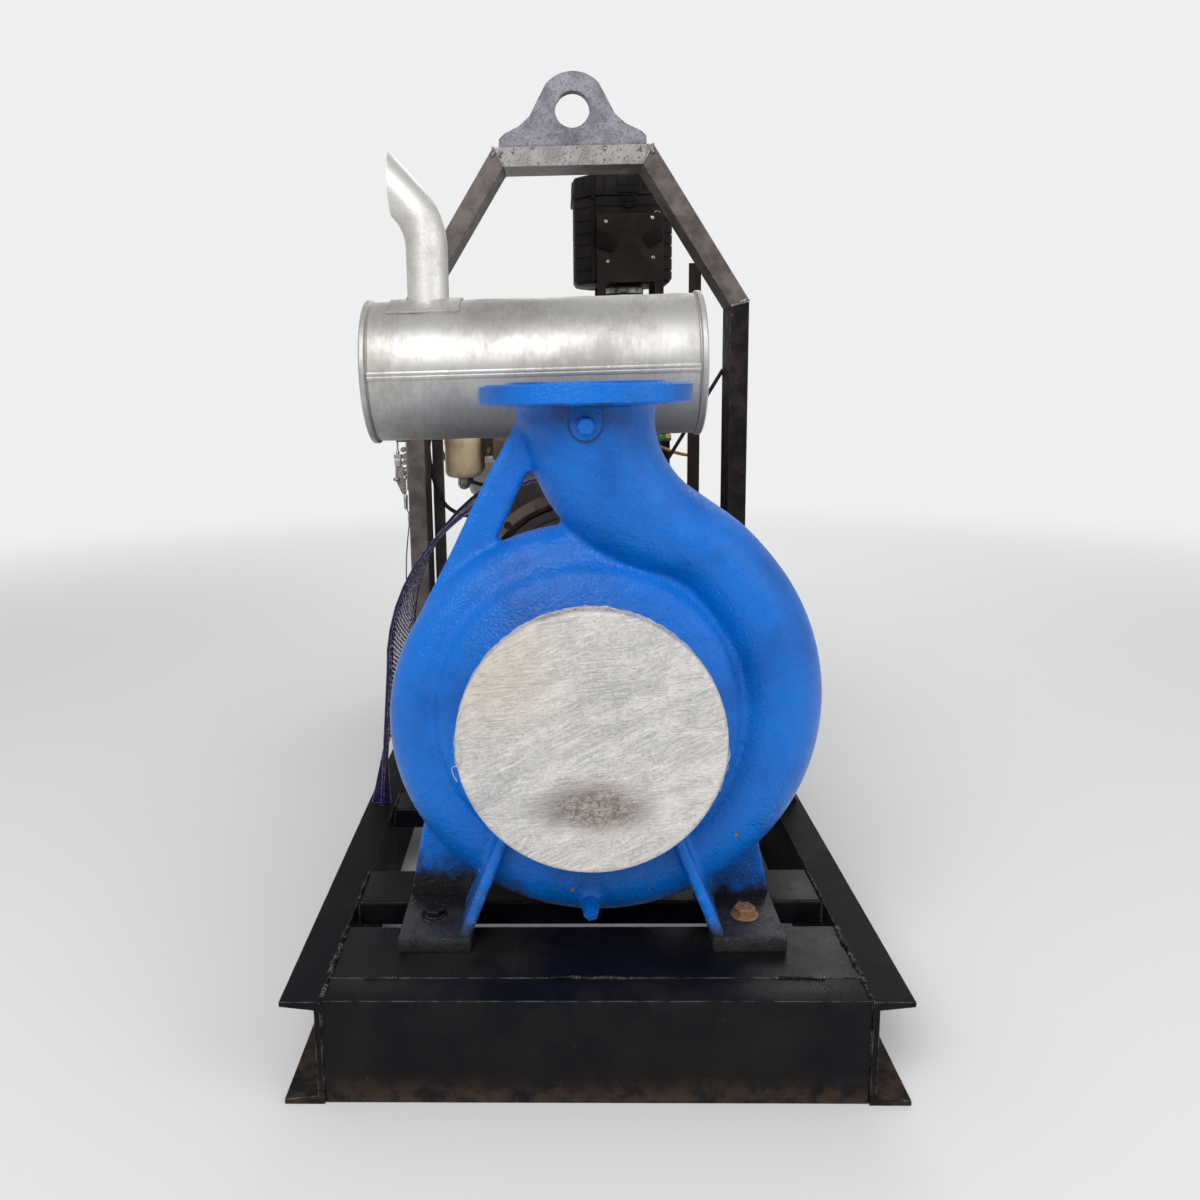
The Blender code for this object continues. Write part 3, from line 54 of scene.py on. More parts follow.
cameraSettings = {
    "place": (-0.0349, -2.1877, 0.9128),
    "pitch": 9.61,  # degrees down
    "yaw": -1.69,
    "roll": 1.02,
    "lens": 29.955,  # on a 36 mm sensor
    "shift": (0.0568, -0.0405),
}


def addThing(name, data):
    thing = bpy.data.objects.new(name, data)
    scene.collection.objects.link(thing)
    return thing


def makeCamera():
    c = cameraSettings
    pitch, yaw, roll = (math.radians(c[key]) for key in ("pitch", "yaw", "roll"))
    ahead = Vector((math.sin(yaw) * math.cos(pitch), math.cos(yaw) * math.cos(pitch), -math.sin(pitch)))
    level = Vector((math.cos(yaw), -math.sin(yaw), 0.0))
    below = ahead.cross(level)
    right = level * math.cos(roll) + below * math.sin(roll)
    lower = below * math.cos(roll) - level * math.sin(roll)
    data = bpy.data.cameras.new("camera")
    data.sensor_width = 36.0
    data.lens = c["lens"]
    data.shift_x, data.shift_y = c["shift"]
    data.clip_start = 0.05
    camera = addThing("camera", data)
    looking = Matrix((right, -lower, -ahead)).transposed().to_4x4()
    camera.matrix_world = Matrix.Translation(c["place"]) @ looking
    scene.camera = camera


makeCamera()


# node helpers for the finishes
def addNode(tree, kind, inputs=None, **settings):
    node = tree.nodes.new(kind)
    for key, value in settings.items():
        setattr(node, key, value)
    for key, value in (inputs or {}).items():
        if isinstance(value, Value):
            value = value.socket
        if isinstance(value, bpy.types.NodeSocket):
            tree.links.new(value, node.inputs[key])
        else:
            node.inputs[key].default_value = value
    return node


class Value:
    # a socket that can be reckoned with: each sign adds one Math node
    def __init__(self, tree, socket):
        self.tree = tree
        self.socket = socket

    def math(self, operation, other=0.0):
        made = addNode(self.tree, "ShaderNodeMath", {0: self, 1: other}, operation=operation)
        return Value(self.tree, made.outputs[0])

    def __add__(self, other):
        return self.math("ADD", other)

    def __sub__(self, other):
        return self.math("SUBTRACT", other)

    def __mul__(self, other):
        return self.math("MULTIPLY", other)

    def most(self, other):
        return self.math("MAXIMUM", other)

    def size(self):
        return self.math("ABSOLUTE")

    def ramp(self, low, high, start=0.0, end=1.0):
        # smooth step from start to end while the value goes from low to high
        inputs = {"Value": self, "From Min": low, "From Max": high, "To Min": start, "To Max": end}
        made = addNode(self.tree, "ShaderNodeMapRange", inputs, interpolation_type="SMOOTHSTEP")
        return Value(self.tree, made.outputs[0])


class Finish:
    # one material under construction: its tree, shader, place on the object and running colour
    def __init__(self, name):
        self.made = bpy.data.materials.new(name)
        self.made.use_nodes = True
        self.tree = self.made.node_tree
        self.shader = self.tree.nodes["Principled BSDF"]
        self.place = addNode(self.tree, "ShaderNodeTexCoord").outputs["Object"]
        self.colour = None

    def mapped(self, **inputs):
        return addNode(self.tree, "ShaderNodeMapping", {"Vector": self.place, **inputs}).outputs[0]

    def noise(self, scale, detail=4.0, rough=0.55, stretch=None, distortion=0.0, place=None):
        place = place or self.place
        if stretch:
            place = addNode(self.tree, "ShaderNodeMapping", {"Vector": place, "Scale": stretch}).outputs[0]
        inputs = {"Vector": place, "Scale": scale, "Detail": detail, "Roughness": rough,
                  "Distortion": distortion}
        return Value(self.tree, addNode(self.tree, "ShaderNodeTexNoise", inputs).outputs["Fac"])

    def axes(self, source=None):
        outputs = addNode(self.tree, "ShaderNodeSeparateXYZ", {0: source or self.place}).outputs
        return [Value(self.tree, outputs[axis]) for axis in "XYZ"]

    def away(self, source):
        made = addNode(self.tree, "ShaderNodeVectorMath", {0: source}, operation="LENGTH")
        return Value(self.tree, made.outputs["Value"])

    def edges(self, radius, low=0.02, high=0.22):
        # how far the rounded normal turns away from the flat one, so bright on edges only
        soft = addNode(self.tree, "ShaderNodeBevel", {"Radius": radius}, samples=4).outputs[0]
        flat = addNode(self.tree, "ShaderNodeNewGeometry").outputs["True Normal"]
        same = addNode(self.tree, "ShaderNodeVectorMath", {0: soft, 1: flat}, operation="DOT_PRODUCT")
        away = addNode(self.tree, "ShaderNodeMath", {0: 1.0, 1: same.outputs["Value"]}, operation="SUBTRACT")
        return Value(self.tree, away.outputs[0]).ramp(low, high)

    def blend(self, amount, first, second=None):
        # two colours start the running colour, one colour is laid over it
        if second is not None:
            self.colour = (*first, 1.0)
            first = second
        inputs = {0: amount, 6: self.colour, 7: (*first, 1.0)}
        self.colour = addNode(self.tree, "ShaderNodeMix", inputs, data_type="RGBA").outputs[2]

    def finish(self, rough, height, depth, strength, soft=None, **values):
        links = {"Base Color": self.colour, "Roughness": rough}
        links.update({key.replace("_", " "): value for key, value in values.items()})
        for key, value in links.items():
            value = value.socket if isinstance(value, Value) else value
            if isinstance(value, bpy.types.NodeSocket):
                self.tree.links.new(value, self.shader.inputs[key])
            else:
                self.shader.inputs[key].default_value = value
        inputs = {"Height": height, "Distance": depth, "Strength": strength}
        if soft:
            inputs["Normal"] = addNode(self.tree, "ShaderNodeBevel", {"Radius": soft}, samples=4).outputs[0]
        bump = addNode(self.tree, "ShaderNodeBump", inputs)
        self.tree.links.new(bump.outputs[0], self.shader.inputs["Normal"])
        return self.made


# painted and cast metal: each finish lists what differs from the plain one; colours are base and second,
# patch and grain are noise scales, rustAt is where rust begins, low is the height below which dirt gathers
plainPaint = {"patch": 26.0, "edge": 0.003, "edgeWear": 0.5, "rustAt": 0.6, "dust": 0.2, "rough": (0.4, 0.6),
              "grain": 420.0, "depth": 0.0008, "soft": 0.001, "metal": 0.2, "low": 0.0, "gloss": 0.3}
paintLooks = {
    "skidPaint": {"base": (0.0045, 0.0045, 0.007), "second": (0.011, 0.0096, 0.0094), "patch": 9.0,
                  "worn": (0.3, 0.27, 0.25), "edge": 0.0022, "edgeWear": 0.8, "rust": (0.06, 0.03, 0.017),
                  "rustAt": 0.64, "dust": 0.1, "rough": (0.24, 0.44), "grain": 190.0, "depth": 0.0006,
                  "soft": 0.002, "metal": 0.0, "low": 0.045, "gloss": 0.1},
    "framePaint": {"base": (0.082, 0.066, 0.058), "second": (0.165, 0.145, 0.135), "patch": 22.0,
                   "worn": (0.46, 0.43, 0.41), "edgeWear": 0.7, "rust": (0.14, 0.085, 0.06), "rustAt": 0.62,
                   "rough": (0.34, 0.56), "grain": 230.0, "depth": 0.0009, "soft": 0.0028, "metal": 0.3},
    "beamPaint": {"base": (0.21, 0.195, 0.19), "second": (0.36, 0.34, 0.335), "patch": 30.0,
                  "worn": (0.62, 0.6, 0.58), "edge": 0.004, "edgeWear": 0.8, "rust": (0.1, 0.065, 0.05),
                  "rustAt": 0.57, "rough": (0.32, 0.52), "grain": 200.0, "depth": 0.0012, "soft": 0.0028,
                  "metal": 0.4, "gloss": 0.4},
    # painted shade: a much darker copy of the frame paint, used on the right post and on the manifold stay
    "postPaint": {"base": (0.01, 0.0075, 0.0075), "second": (0.03, 0.022, 0.021), "worn": (0.34, 0.27, 0.23),
                  "edgeWear": 0.7, "rust": (0.12, 0.075, 0.06), "rough": (0.34, 0.56), "grain": 230.0,
                  "depth": 0.001, "soft": 0.0028, "metal": 0.15, "gloss": 0.14},
    "standPaint": {"base": (0.021, 0.0155, 0.014), "second": (0.036, 0.026, 0.022), "patch": 16.0,
                   "worn": (0.22, 0.18, 0.16), "edge": 0.0025, "edgeWear": 0.4, "rust": (0.12, 0.07, 0.05),
                   "rustAt": 0.64, "dust": 0.25, "rough": (0.4, 0.62), "grain": 240.0, "depth": 0.0004,
                   "soft": 0.0015, "metal": 0.0, "gloss": 0.1},
    # the guard's near-white worn colour on its edges is partly chipped paint, partly painted highlight glints
    "guardPaint": {"base": (0.018, 0.01, 0.075), "second": (0.04, 0.022, 0.06), "patch": 30.0,
                   "worn": (0.74, 0.72, 0.8), "edge": 0.0022, "edgeWear": 0.85, "rust": (0.16, 0.1, 0.09),
                   "dust": 0.1, "rough": (0.3, 0.5), "grain": 320.0, "depth": 0.0004, "metal": 0.1,
                   "gloss": 0.2},
    "engineIron": {"base": (0.088, 0.083, 0.08), "second": (0.118, 0.108, 0.101), "patch": 18.0,
                   "worn": (0.36, 0.33, 0.31), "edgeWear": 0.35, "rust": (0.17, 0.11, 0.08),
                   "rough": (0.42, 0.64), "grain": 300.0, "depth": 0.0007, "soft": 0.003, "metal": 0.25,
                   "gloss": 0.35},
    "housingIron": {"base": (0.36, 0.275, 0.225), "second": (0.22, 0.17, 0.145), "patch": 24.0,
                    "worn": (0.42, 0.36, 0.33), "edgeWear": 0.45, "rust": (0.2, 0.12, 0.09), "rustAt": 0.58,
                    "rough": (0.45, 0.66), "grain": 280.0, "soft": 0.002},
    "engineDark": {"base": (0.04, 0.038, 0.037), "second": (0.062, 0.057, 0.053), "patch": 20.0,
                   "worn": (0.3, 0.28, 0.26), "edge": 0.0022, "edgeWear": 0.35, "rust": (0.14, 0.085, 0.06),
                   "rustAt": 0.64, "dust": 0.3, "grain": 320.0, "depth": 0.0006, "soft": 0.002,
                   "metal": 0.15},
    "castAlloy": {"base": (0.34, 0.335, 0.33), "second": (0.24, 0.23, 0.22), "patch": 30.0,
                  "worn": (0.6, 0.59, 0.58), "edge": 0.0015, "rust": (0.12, 0.09, 0.07), "rustAt": 0.62,
                  "dust": 0.3, "depth": 0.0006, "metal": 0.7, "gloss": 0.4},
    "rustyBolt": {"base": (0.24, 0.13, 0.065), "second": (0.34, 0.2, 0.11), "patch": 60.0,
                  "worn": (0.5, 0.36, 0.22), "edge": 0.0015, "edgeWear": 0.6, "rust": (0.14, 0.06, 0.03),
                  "rustAt": 0.5, "dust": 0.1, "rough": (0.45, 0.7), "gloss": 0.35},
    "weldSteel": {"base": (0.2, 0.18, 0.175), "second": (0.4, 0.37, 0.36), "patch": 80.0,
                  "worn": (0.66, 0.64, 0.62), "edge": 0.0015, "rust": (0.06, 0.035, 0.03), "rustAt": 0.5,
                  "dust": 0.1, "rough": (0.24, 0.45), "depth": 0.0004, "metal": 0.6, "gloss": 0.5},
    "pipeSteel": {"base": (0.19, 0.13, 0.1), "second": (0.1, 0.075, 0.065), "worn": (0.36, 0.3, 0.27),
                  "edge": 0.002, "edgeWear": 0.3, "rust": (0.22, 0.11, 0.06), "rustAt": 0.52,
                  "rough": (0.45, 0.7), "grain": 240.0, "depth": 0.0005, "soft": 0.002, "metal": 0.3,
                  "gloss": 0.35},
}
paintLooks["railPaint"] = {**paintLooks["skidPaint"], "rough": (0.54, 0.7)}
lowDirt, dustColour = (0.06, 0.038, 0.026), (0.06, 0.05, 0.044)


def paintedMetal(name):
    s = {**plainPaint, **paintLooks[name]}
    f = Finish(name)
    broad = f.noise(s["patch"], 5.0, 0.6)
    fine = f.noise(s["grain"], 3.0, 0.6)
    speck = f.noise(s["patch"] * 4.5, 6.0, 0.7)
    f.blend(broad.ramp(0.36, 0.68), s["base"], s["second"])
    rusty = speck.ramp(s["rustAt"], s["rustAt"] + 0.07) * broad.ramp(0.4, 0.62)
    f.blend(rusty, s["rust"])
    if s["low"]:
        f.blend(f.axes()[2].ramp(s["low"], 0.0) * speck.ramp(0.36, 0.6) * 0.75, lowDirt)
    facing = f.axes(addNode(f.tree, "ShaderNodeNewGeometry").outputs["Normal"])[2]
    dusty = facing.ramp(0.5, 1.0) * broad.ramp(0.45, 0.75)
    f.blend(dusty * s["dust"], dustColour)
    f.blend(f.edges(s["edge"]) * speck.ramp(0.4, 0.6) * s["edgeWear"], s["worn"])
    rough = broad.ramp(0.3, 0.7, *s["rough"]).most(rusty.most(dusty) * 0.7)
    return f.finish(rough, fine + rusty * 0.8, s["depth"], 0.8, s["soft"], Metallic=s["metal"],
                    Specular_IOR_Level=s["gloss"])


# plastics, rubber and bare metal: each lists what differs from the plain one
plainBare = {"patch": 60.0, "grain": 400.0, "depth": 0.0002, "rough": (0.3, 0.5), "metal": 0.0, "soft": 0.001,
             "gloss": 0.35}
bareLooks = {
    "filterPlastic": {"base": (0.0085, 0.0072, 0.0065), "second": (0.021, 0.0165, 0.0145), "patch": 18.0,
                      "rough": (0.36, 0.6), "gloss": 0.13, "grain": 700.0, "soft": 0.002},
    "fanPlastic": {"base": (0.02, 0.021, 0.023), "second": (0.05, 0.045, 0.04), "patch": 12.0,
                   "rough": (0.42, 0.66), "gloss": 0.2, "grain": 500.0, "soft": 0.0015},
    "ductRubber": {"base": (0.018, 0.017, 0.017), "second": (0.042, 0.038, 0.035), "patch": 30.0,
                   "rough": (0.5, 0.75), "grain": 420.0, "depth": 0.0003, "soft": 0.0015},
    "canisterCream": {"base": (0.95, 0.76, 0.49), "second": (0.7, 0.53, 0.34), "patch": 26.0,
                      "rough": (0.28, 0.5), "grain": 300.0, "depth": 0.0001, "soft": 0.002},
    "boltSteel": {"base": (0.5, 0.5, 0.5), "second": (0.26, 0.22, 0.19), "rough": (0.28, 0.5),
                  "grain": 500.0, "metal": 0.9, "soft": 0.0008},
    "filterDark": {"base": (0.004, 0.0036, 0.0034), "second": (0.012, 0.01, 0.009), "patch": 30.0,
                   "rough": (0.36, 0.6), "gloss": 0.15, "grain": 600.0},
    "cableSteel": {"base": (0.17, 0.16, 0.15), "second": (0.09, 0.08, 0.075), "grain": 900.0, "depth": 0.0003,
                   "metal": 0.5, "soft": 0.0006},
    "capGreen": {"base": (0.05, 0.3, 0.06), "second": (0.02, 0.14, 0.03)},
    "shaftSteel": {"base": (0.45, 0.44, 0.42), "second": (0.3, 0.24, 0.2), "patch": 18.0,
                   "rough": (0.25, 0.45), "metal": 1.0},
    "brassFitting": {"base": (0.55, 0.36, 0.12), "second": (0.32, 0.2, 0.08), "metal": 0.9},
}


def bareFinish(name):
    s = {**plainBare, **bareLooks[name]}
    f = Finish(name)
    broad = f.noise(s["patch"], 5.0, 0.6)
    fine = f.noise(s["grain"], 3.0, 0.55)
    f.blend(broad.ramp(0.38, 0.72), s["base"], s["second"])
    return f.finish(broad.ramp(0.3, 0.7, *s["rough"]), fine, s["depth"], 0.7, s["soft"], Metallic=s["metal"],
                    Specular_IOR_Level=s["gloss"])


pumpPaintSettings = {
    # the grime colour is painted shade round the neck plug's boss and under the flange, mixed with some dirt
    "blue": (0.0003, 0.15, 0.61), "deep": (0.0003, 0.082, 0.37), "overspray": (0.012, 0.012, 0.014),
    "chip": (0.34, 0.16, 0.045), "dirt": (0.05, 0.06, 0.085), "fleck": (0.23, 0.15, 0.1),
    "worn": (0.034, 0.034, 0.038), "grimeAndShade": (0.013, 0.022, 0.045), "rough": (0.2, 0.32), "gloss": 0.31,
    "peel": 250.0,  # cast grain, a wave every 4 mm
    "swell": 46.0, "depth": 0.0065,
}


def pumpPaint(name, overspray=True):
    s = pumpPaintSettings
    f = Finish(name)
    broad = f.noise(7.0, 5.0, 0.6)
    swell = f.noise(s["swell"], 4.0, 0.55)
    peel = f.noise(s["peel"], 3.0, 0.6)
    speck = f.noise(34.0, 5.0, 0.66)
    f.blend(broad.ramp(0.42, 0.8), s["blue"], s["deep"])
    f.blend(speck.ramp(0.655, 0.72, 0.0, 0.35), s["dirt"])
    # small chips, most of them on edges, low down and along the flange's top
    x, y, z = f.axes()
    low = z.ramp(0.42, 0.2).most(z.ramp(shaftZ + 0.444, shaftZ + 0.45, 0.0, 0.8))
    chips = (f.noise(82.0, 3.0, 0.5) + (f.edges(0.004, 0.03, 0.2) + low) * 0.07).ramp(0.765, 0.785)
    f.blend(chips, s["chip"])
    if overspray:
        # black from the skid, sprayed over the feet and the foot plates, higher at the left
        out = x.size()
        height = z - ((speck - 0.5) * 0.1 + x.ramp(-0.05, 0.05) * -0.03)
        outer = out.ramp(0.125, 0.15)
        sprayed = height.ramp(0.246, 0.19) * outer * y.ramp(pumpY - 0.012, pumpY + 0.004)
        f.blend(sprayed.most(z.ramp(0.178, 0.166) * out.ramp(0.13, 0.15)), s["overspray"])
        flecks = f.noise(150.0, 4.0, 0.7).ramp(0.6, 0.68) * (outer * height.ramp(0.27, 0.2))
        f.blend(flecks * 0.55, s["fleck"])
        # grey, worn ends of the two front gussets
        gusset = y.ramp(pumpY - 0.014, pumpY - 0.03) * out.ramp(0.08, 0.1) * height.ramp(0.25, 0.175)
        f.blend(gusset * speck.ramp(0.3, 0.55, 0.4, 0.85), s["worn"])
        # painted shade in the crease round the neck plug's boss and under the flange, with some dirt there as
        # well
        fromBoss = f.away(f.mapped(Location=(0.002, 0.0, -shaftZ - 0.396), Scale=(1.0, 0.0, 1.0)))
        grimeAndShade = z.ramp(shaftZ + 0.375, shaftZ + 0.425) * speck.ramp(0.36, 0.6, 0.15, 0.75)
        grimeAndShade = (grimeAndShade * fromBoss.ramp(0.085, 0.03)).most(fromBoss.ramp(0.0255, 0.0205, 0.0, 0.75))
        front = y.ramp(pumpY - 0.05, pumpY - 0.072) * z.ramp(shaftZ + 0.425, shaftZ + 0.4235)
        f.blend(grimeAndShade * front, s["grimeAndShade"])
    height = peel * 0.34 + swell * 0.5 - chips * 0.5
    return f.finish(swell.ramp(0.3, 0.7, *s["rough"]) + chips * 0.3, height, s["depth"], 0.75,
                    Specular_IOR_Level=s["gloss"])


lugLooks = {"base": (0.15, 0.15, 0.172), "pale": (0.27, 0.27, 0.3), "dark": (0.055, 0.05, 0.055),
            "stain": (0.085, 0.055, 0.045), "worn": (0.52, 0.52, 0.54)}


def silverPaint(name):
    s = lugLooks
    f = Finish(name)
    broad = f.noise(24.0, 6.0, 0.62)
    pits = f.noise(210.0, 5.0, 0.68)
    f.blend(broad.ramp(0.36, 0.66), s["base"], s["pale"])
    f.blend(pits.ramp(0.45, 0.34, 0.0, 0.6), s["dark"])
    f.blend(f.axes()[2].ramp(1.4, 1.388) * broad.ramp(0.35, 0.6) * 0.7, s["stain"])
    f.blend(f.edges(0.003) * pits.ramp(0.4, 0.6) * 0.6, s["worn"])
    return f.finish(pits.ramp(0.3, 0.7, 0.62, 0.38), pits + broad, 0.0018, 0.8, 0.003, Metallic=0.55)


silencerLooks = {"bright": (0.6, 0.588, 0.565), "dull": (0.44, 0.42, 0.395), "rust": (0.21, 0.105, 0.06),
                 "rough": (0.46, 0.62)}


def sheetMetal(name, stretch, pale=1.0):
    s = silencerLooks
    f = Finish(name)
    cloud = f.noise(9.0, 5.0, 0.6)
    brush = f.noise(9.0, 4.0, 0.62, stretch)
    speck = f.noise(95.0, 5.0, 0.62)
    tone = brush * 0.3 + cloud * 0.75
    # pale above one gives a lit copy of the same steel: painted light
    bright, dull = ([part * pale for part in s[key]] for key in ("bright", "dull"))
    f.blend(tone.ramp(0.42, 0.68), bright, dull)
    f.blend(speck.ramp(0.665, 0.72) * cloud.ramp(0.46, 0.6) * 0.7, s["rust"])
    return f.finish(tone.ramp(0.35, 0.75, *s["rough"]), brush + cloud * 1.4, 0.0006, 0.5, 0.0012,
                    Metallic=0.92, Anisotropic=0.35)


filmSettings = {"pale": (0.84, 0.81, 0.77), "creaseShade": (0.47, 0.46, 0.465), "warm": (0.74, 0.62, 0.5),
                "dirt": (0.17, 0.125, 0.095)}


def filmPlastic(name):
    s = filmSettings
    f = Finish(name)
    # wrinkles run nearly level, a little down to the left, and others aslant
    level, cross = (f.mapped(Rotation=(0.0, math.radians(angle), 0.0)) for angle in (6.0, 27.0))
    lines = f.noise(38.0, 6.0, 0.7, (1.0, 1.0, 11.0), 0.7, level)
    slant = f.noise(34.0, 6.0, 0.7, (1.0, 1.0, 10.0), 0.8, cross)
    crumple = f.noise(120.0, 5.0, 0.7, None, 1.4)
    f.blend(f.noise(14.0, 5.0, 0.6).ramp(0.42, 0.58), (0.0, 0.0, 0.0), (1.0, 1.0, 1.0))
    ridge = Value(f.tree, addNode(f.tree, "ShaderNodeMix", {0: f.colour, 2: lines, 3: slant}).outputs[0])
    # one broad stretched band from the lower left to the upper right, and loose creases round it
    crease = f.noise(6.5, 4.0, 0.6, (1.0, 1.0, 3.2), 1.1, cross)
    folds = ridge * 0.62 + crumple * 0.38 + (crease - 0.5) * 0.35
    # colour follows the folds' height, darker in the creases and paler on the ridges: painted shade and
    # painted highlight
    f.blend(folds.ramp(0.33, 0.63), s["creaseShade"], s["pale"])
    x, y, z = f.axes()
    f.blend(x.ramp(0.02, -0.13) * z.ramp(0.44, 0.56) * 0.55, s["warm"])
    soil = f.away(f.mapped(Location=(-0.004, 0.0, -0.836), Scale=(1.0, 0.0, 2.2))).ramp(0.1, 0.03)
    f.blend(soil * crumple.ramp(0.34, 0.62, 0.35, 1.0) * 0.95, s["dirt"])
    return f.finish(crumple.ramp(0.3, 0.7, 0.18, 0.42), folds, 0.006, 1.0, Coat_Weight=0.25,
                    Coat_Roughness=0.12)


# gap is painted shade between the fins
finLooks = {"gap": (0.01, 0.01, 0.011), "fin": (0.085, 0.08, 0.076), "dust": (0.13, 0.105, 0.082),
            "pitch": 0.0028}


def radiatorFins(name):
    # corrugated fins between flat tubes, with dust caught in them; the dark gaps between the fins are painted
    # shade
    s = finLooks
    f = Finish(name)
    fin = (f.axes()[2] * (math.pi / s["pitch"])).math("SINE").size()
    dusty = f.noise(9.0, 5.0, 0.6)
    f.blend(fin.ramp(0.15, 0.85), s["gap"], s["fin"])
    f.blend(dusty.ramp(0.52, 0.74, 0.0, 0.45), s["dust"])
    return f.finish(dusty.ramp(0.3, 0.7, 0.42, 0.7), fin, 0.0012, 0.9, Metallic=0.3)


finishes = {name: paintedMetal(name) for name in paintLooks}
finishes.update({name: bareFinish(name) for name in bareLooks})
finishes.update({
    "coreFins": radiatorFins("coreFins"), "pumpBlue": pumpPaint("pumpBlue"),
    "plugBlue": pumpPaint("plugBlue", False), "lugSilver": silverPaint("lugSilver"),
    "silencerSteel": sheetMetal("silencerSteel", (14.0, 5.0, 5.0)),
    # the stack's steel is the silencer's made 1.4 times paler, painted light
    "stackSteel": sheetMetal("stackSteel", (22.0, 22.0, 22.0), 1.4), "filmWrap": filmPlastic("filmWrap"),
})
# the longest start that fits a node's name says its finish; the rest of the engine is plain iron
nodeFinishes = {
    "skidPaint": ("skid_", "cross_bar", "pump_foot_plate", "radiator_frame", "radiator_top_tank"),
    "railPaint": ("skid_rail",),
    "framePaint": ("lifting_post", "lifting_brace", "silencer_arm", "throttle"),
    "beamPaint": ("lifting_beam",),
    "postPaint": ("lifting_post_right",),
    "lugSilver": ("lifting_lug",),
    "pumpBlue": ("pump_casing", "bearing_bracket", "bearing_foot"),
    "plugBlue": ("neck_plug", "drain_plug"),
    "filmWrap": ("suction_film_wrap",),
    "shaftSteel": ("pump_shaft",),
    "guardPaint": ("guard_",),
    "housingIron": ("flywheel_housing",),
    "silencerSteel": ("silencer",),
    "stackSteel": ("exhaust_stack",),
    "pipeSteel": ("exhaust_pipe", "exhaust_manifold"),
    "filterPlastic": ("air_filter_body", "air_filter_lid"),
    "standPaint": ("air_filter_stand",),
    "fanPlastic": ("radiator_fan", "fan_shroud"),
    "ductRubber": ("air_filter_duct", "fan_belt", "radiator_top_hose", "radiator_bottom_hose"),
    "canisterCream": ("fuel_filters",),
    "coreFins": ("radiator_core",),
    "engineDark": ("oil_filter", "starter_motor", "crank_pulley", "intake_manifold"),
    "castAlloy": ("alternator",),
}


def finishFor(nodeName):
    fits = [(len(start), name) for name, starts in nodeFinishes.items() for start in starts
            if nodeName.startswith(start)]
    return finishes[max(fits)[1] if fits else "engineIron"]


for nodeName, part in nodes.items():
    for holder in part.material_slots:
        holder.material = finishFor(nodeName)
print("finishes made")

stageSettings = {
    "floor": (0.78, 0.78, 0.775),
    "world": (0.86, 0.87, 0.88),
    "worldStrength": 0.56,
    "fadeFrom": 1.8, "fadeTo": 5.5,
    "background": (0.86, 0.865, 0.87),
    # name, place, aimed at, size, watts
    "lamps": (("key", (-1.1, -3.6, 3.3), (0.0, -0.5, 0.6), 2.6, 106.0),
              ("fill", (2.8, -2.4, 1.9), (0.0, -0.5, 0.6), 2.4, 26.0),
              ("back", (0.6, 3.4, 3.0), (0.0, 0.0, 0.7), 3.0, 60.0)),
}


def mixInto(tree, amount, first, kind, colour, sink):
    # the second shader takes over where the amount is one
    second = addNode(tree, kind, {"Color": (*colour, 1.0), "Strength": 1.0})
    mixed = addNode(tree, "ShaderNodeMixShader", {0: amount, 1: first.outputs[0], 2: second.outputs[0]})
    tree.links.new(mixed.outputs[0], tree.nodes[sink].inputs["Surface"])


def makeStage():
    s = stageSettings
    mesh = bpy.data.meshes.new("floor")
    bm = bmesh.new()
    bmesh.ops.create_grid(bm, x_segments=1, y_segments=1, size=14.0)
    bm.to_mesh(mesh)
    bm.free()
    floor = addThing("floor", mesh)
    paint = Finish("pale_floor")
    paint.shader.inputs["Base Color"].default_value = (*s["floor"], 1.0)
    paint.shader.inputs["Roughness"].default_value = 0.8
    rays = addNode(paint.tree, "ShaderNodeLightPath").outputs
    far = paint.away(paint.place).ramp(s["fadeFrom"], s["fadeTo"]) * rays["Is Camera Ray"]
    mixInto(paint.tree, far, paint.shader, "ShaderNodeEmission", s["background"], "Material Output")
    mesh.materials.append(paint.made)
    world = bpy.data.worlds.new("studio")
    world.use_nodes = True
    tree = world.node_tree
    light = tree.nodes["Background"]
    light.inputs["Color"].default_value = (*s["world"], 1.0)
    light.inputs["Strength"].default_value = s["worldStrength"]
    rays = addNode(tree, "ShaderNodeLightPath").outputs
    looked = Value(tree, rays["Is Camera Ray"]).most(rays["Is Transmission Ray"])
    mixInto(tree, looked, light, "ShaderNodeBackground", s["background"], "World Output")
    scene.world = world
    for name, place, aim, size, watts in s["lamps"]:
        data = bpy.data.lights.new(name, "AREA")
        data.shape = "DISK"
        data.size = size
        data.energy = watts
        lamp = addThing(name, data)
        lamp.location = place
        lamp.rotation_euler = (Vector(aim) - Vector(place)).to_track_quat("-Z", "Y").to_euler()


makeStage()
scene.view_settings.view_transform = "Standard"
print("camera, floor and lamps")


# mesh helpers
def linkPiece(name, mesh, finish=None):
    piece = addThing(name, mesh)
    if finish:
        mesh.materials.append(finishes[finish])
    return piece


def roundOff(mesh, smooth):
    mesh.shade_smooth()
    mesh.set_sharp_from_angle(angle=math.radians(smooth))


def meshFrom(name, build, smooth=35.0):
    mesh = bpy.data.meshes.new(name)
    bm = bmesh.new()
    build(bm)
    bmesh.ops.recalc_face_normals(bm, faces=bm.faces)
    bm.to_mesh(mesh)
    bm.free()
    if smooth:
        roundOff(mesh, smooth)
    return mesh


def settle(piece, slotName, *standsFor):
    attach(piece, "root")
    if standsFor:
        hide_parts(*standsFor)
    return piece


def makePiece(name, build, finish, slotName, *standsFor, smooth=35.0):
    return settle(linkPiece(name, meshFrom(name, build, smooth), finish), slotName, *standsFor)


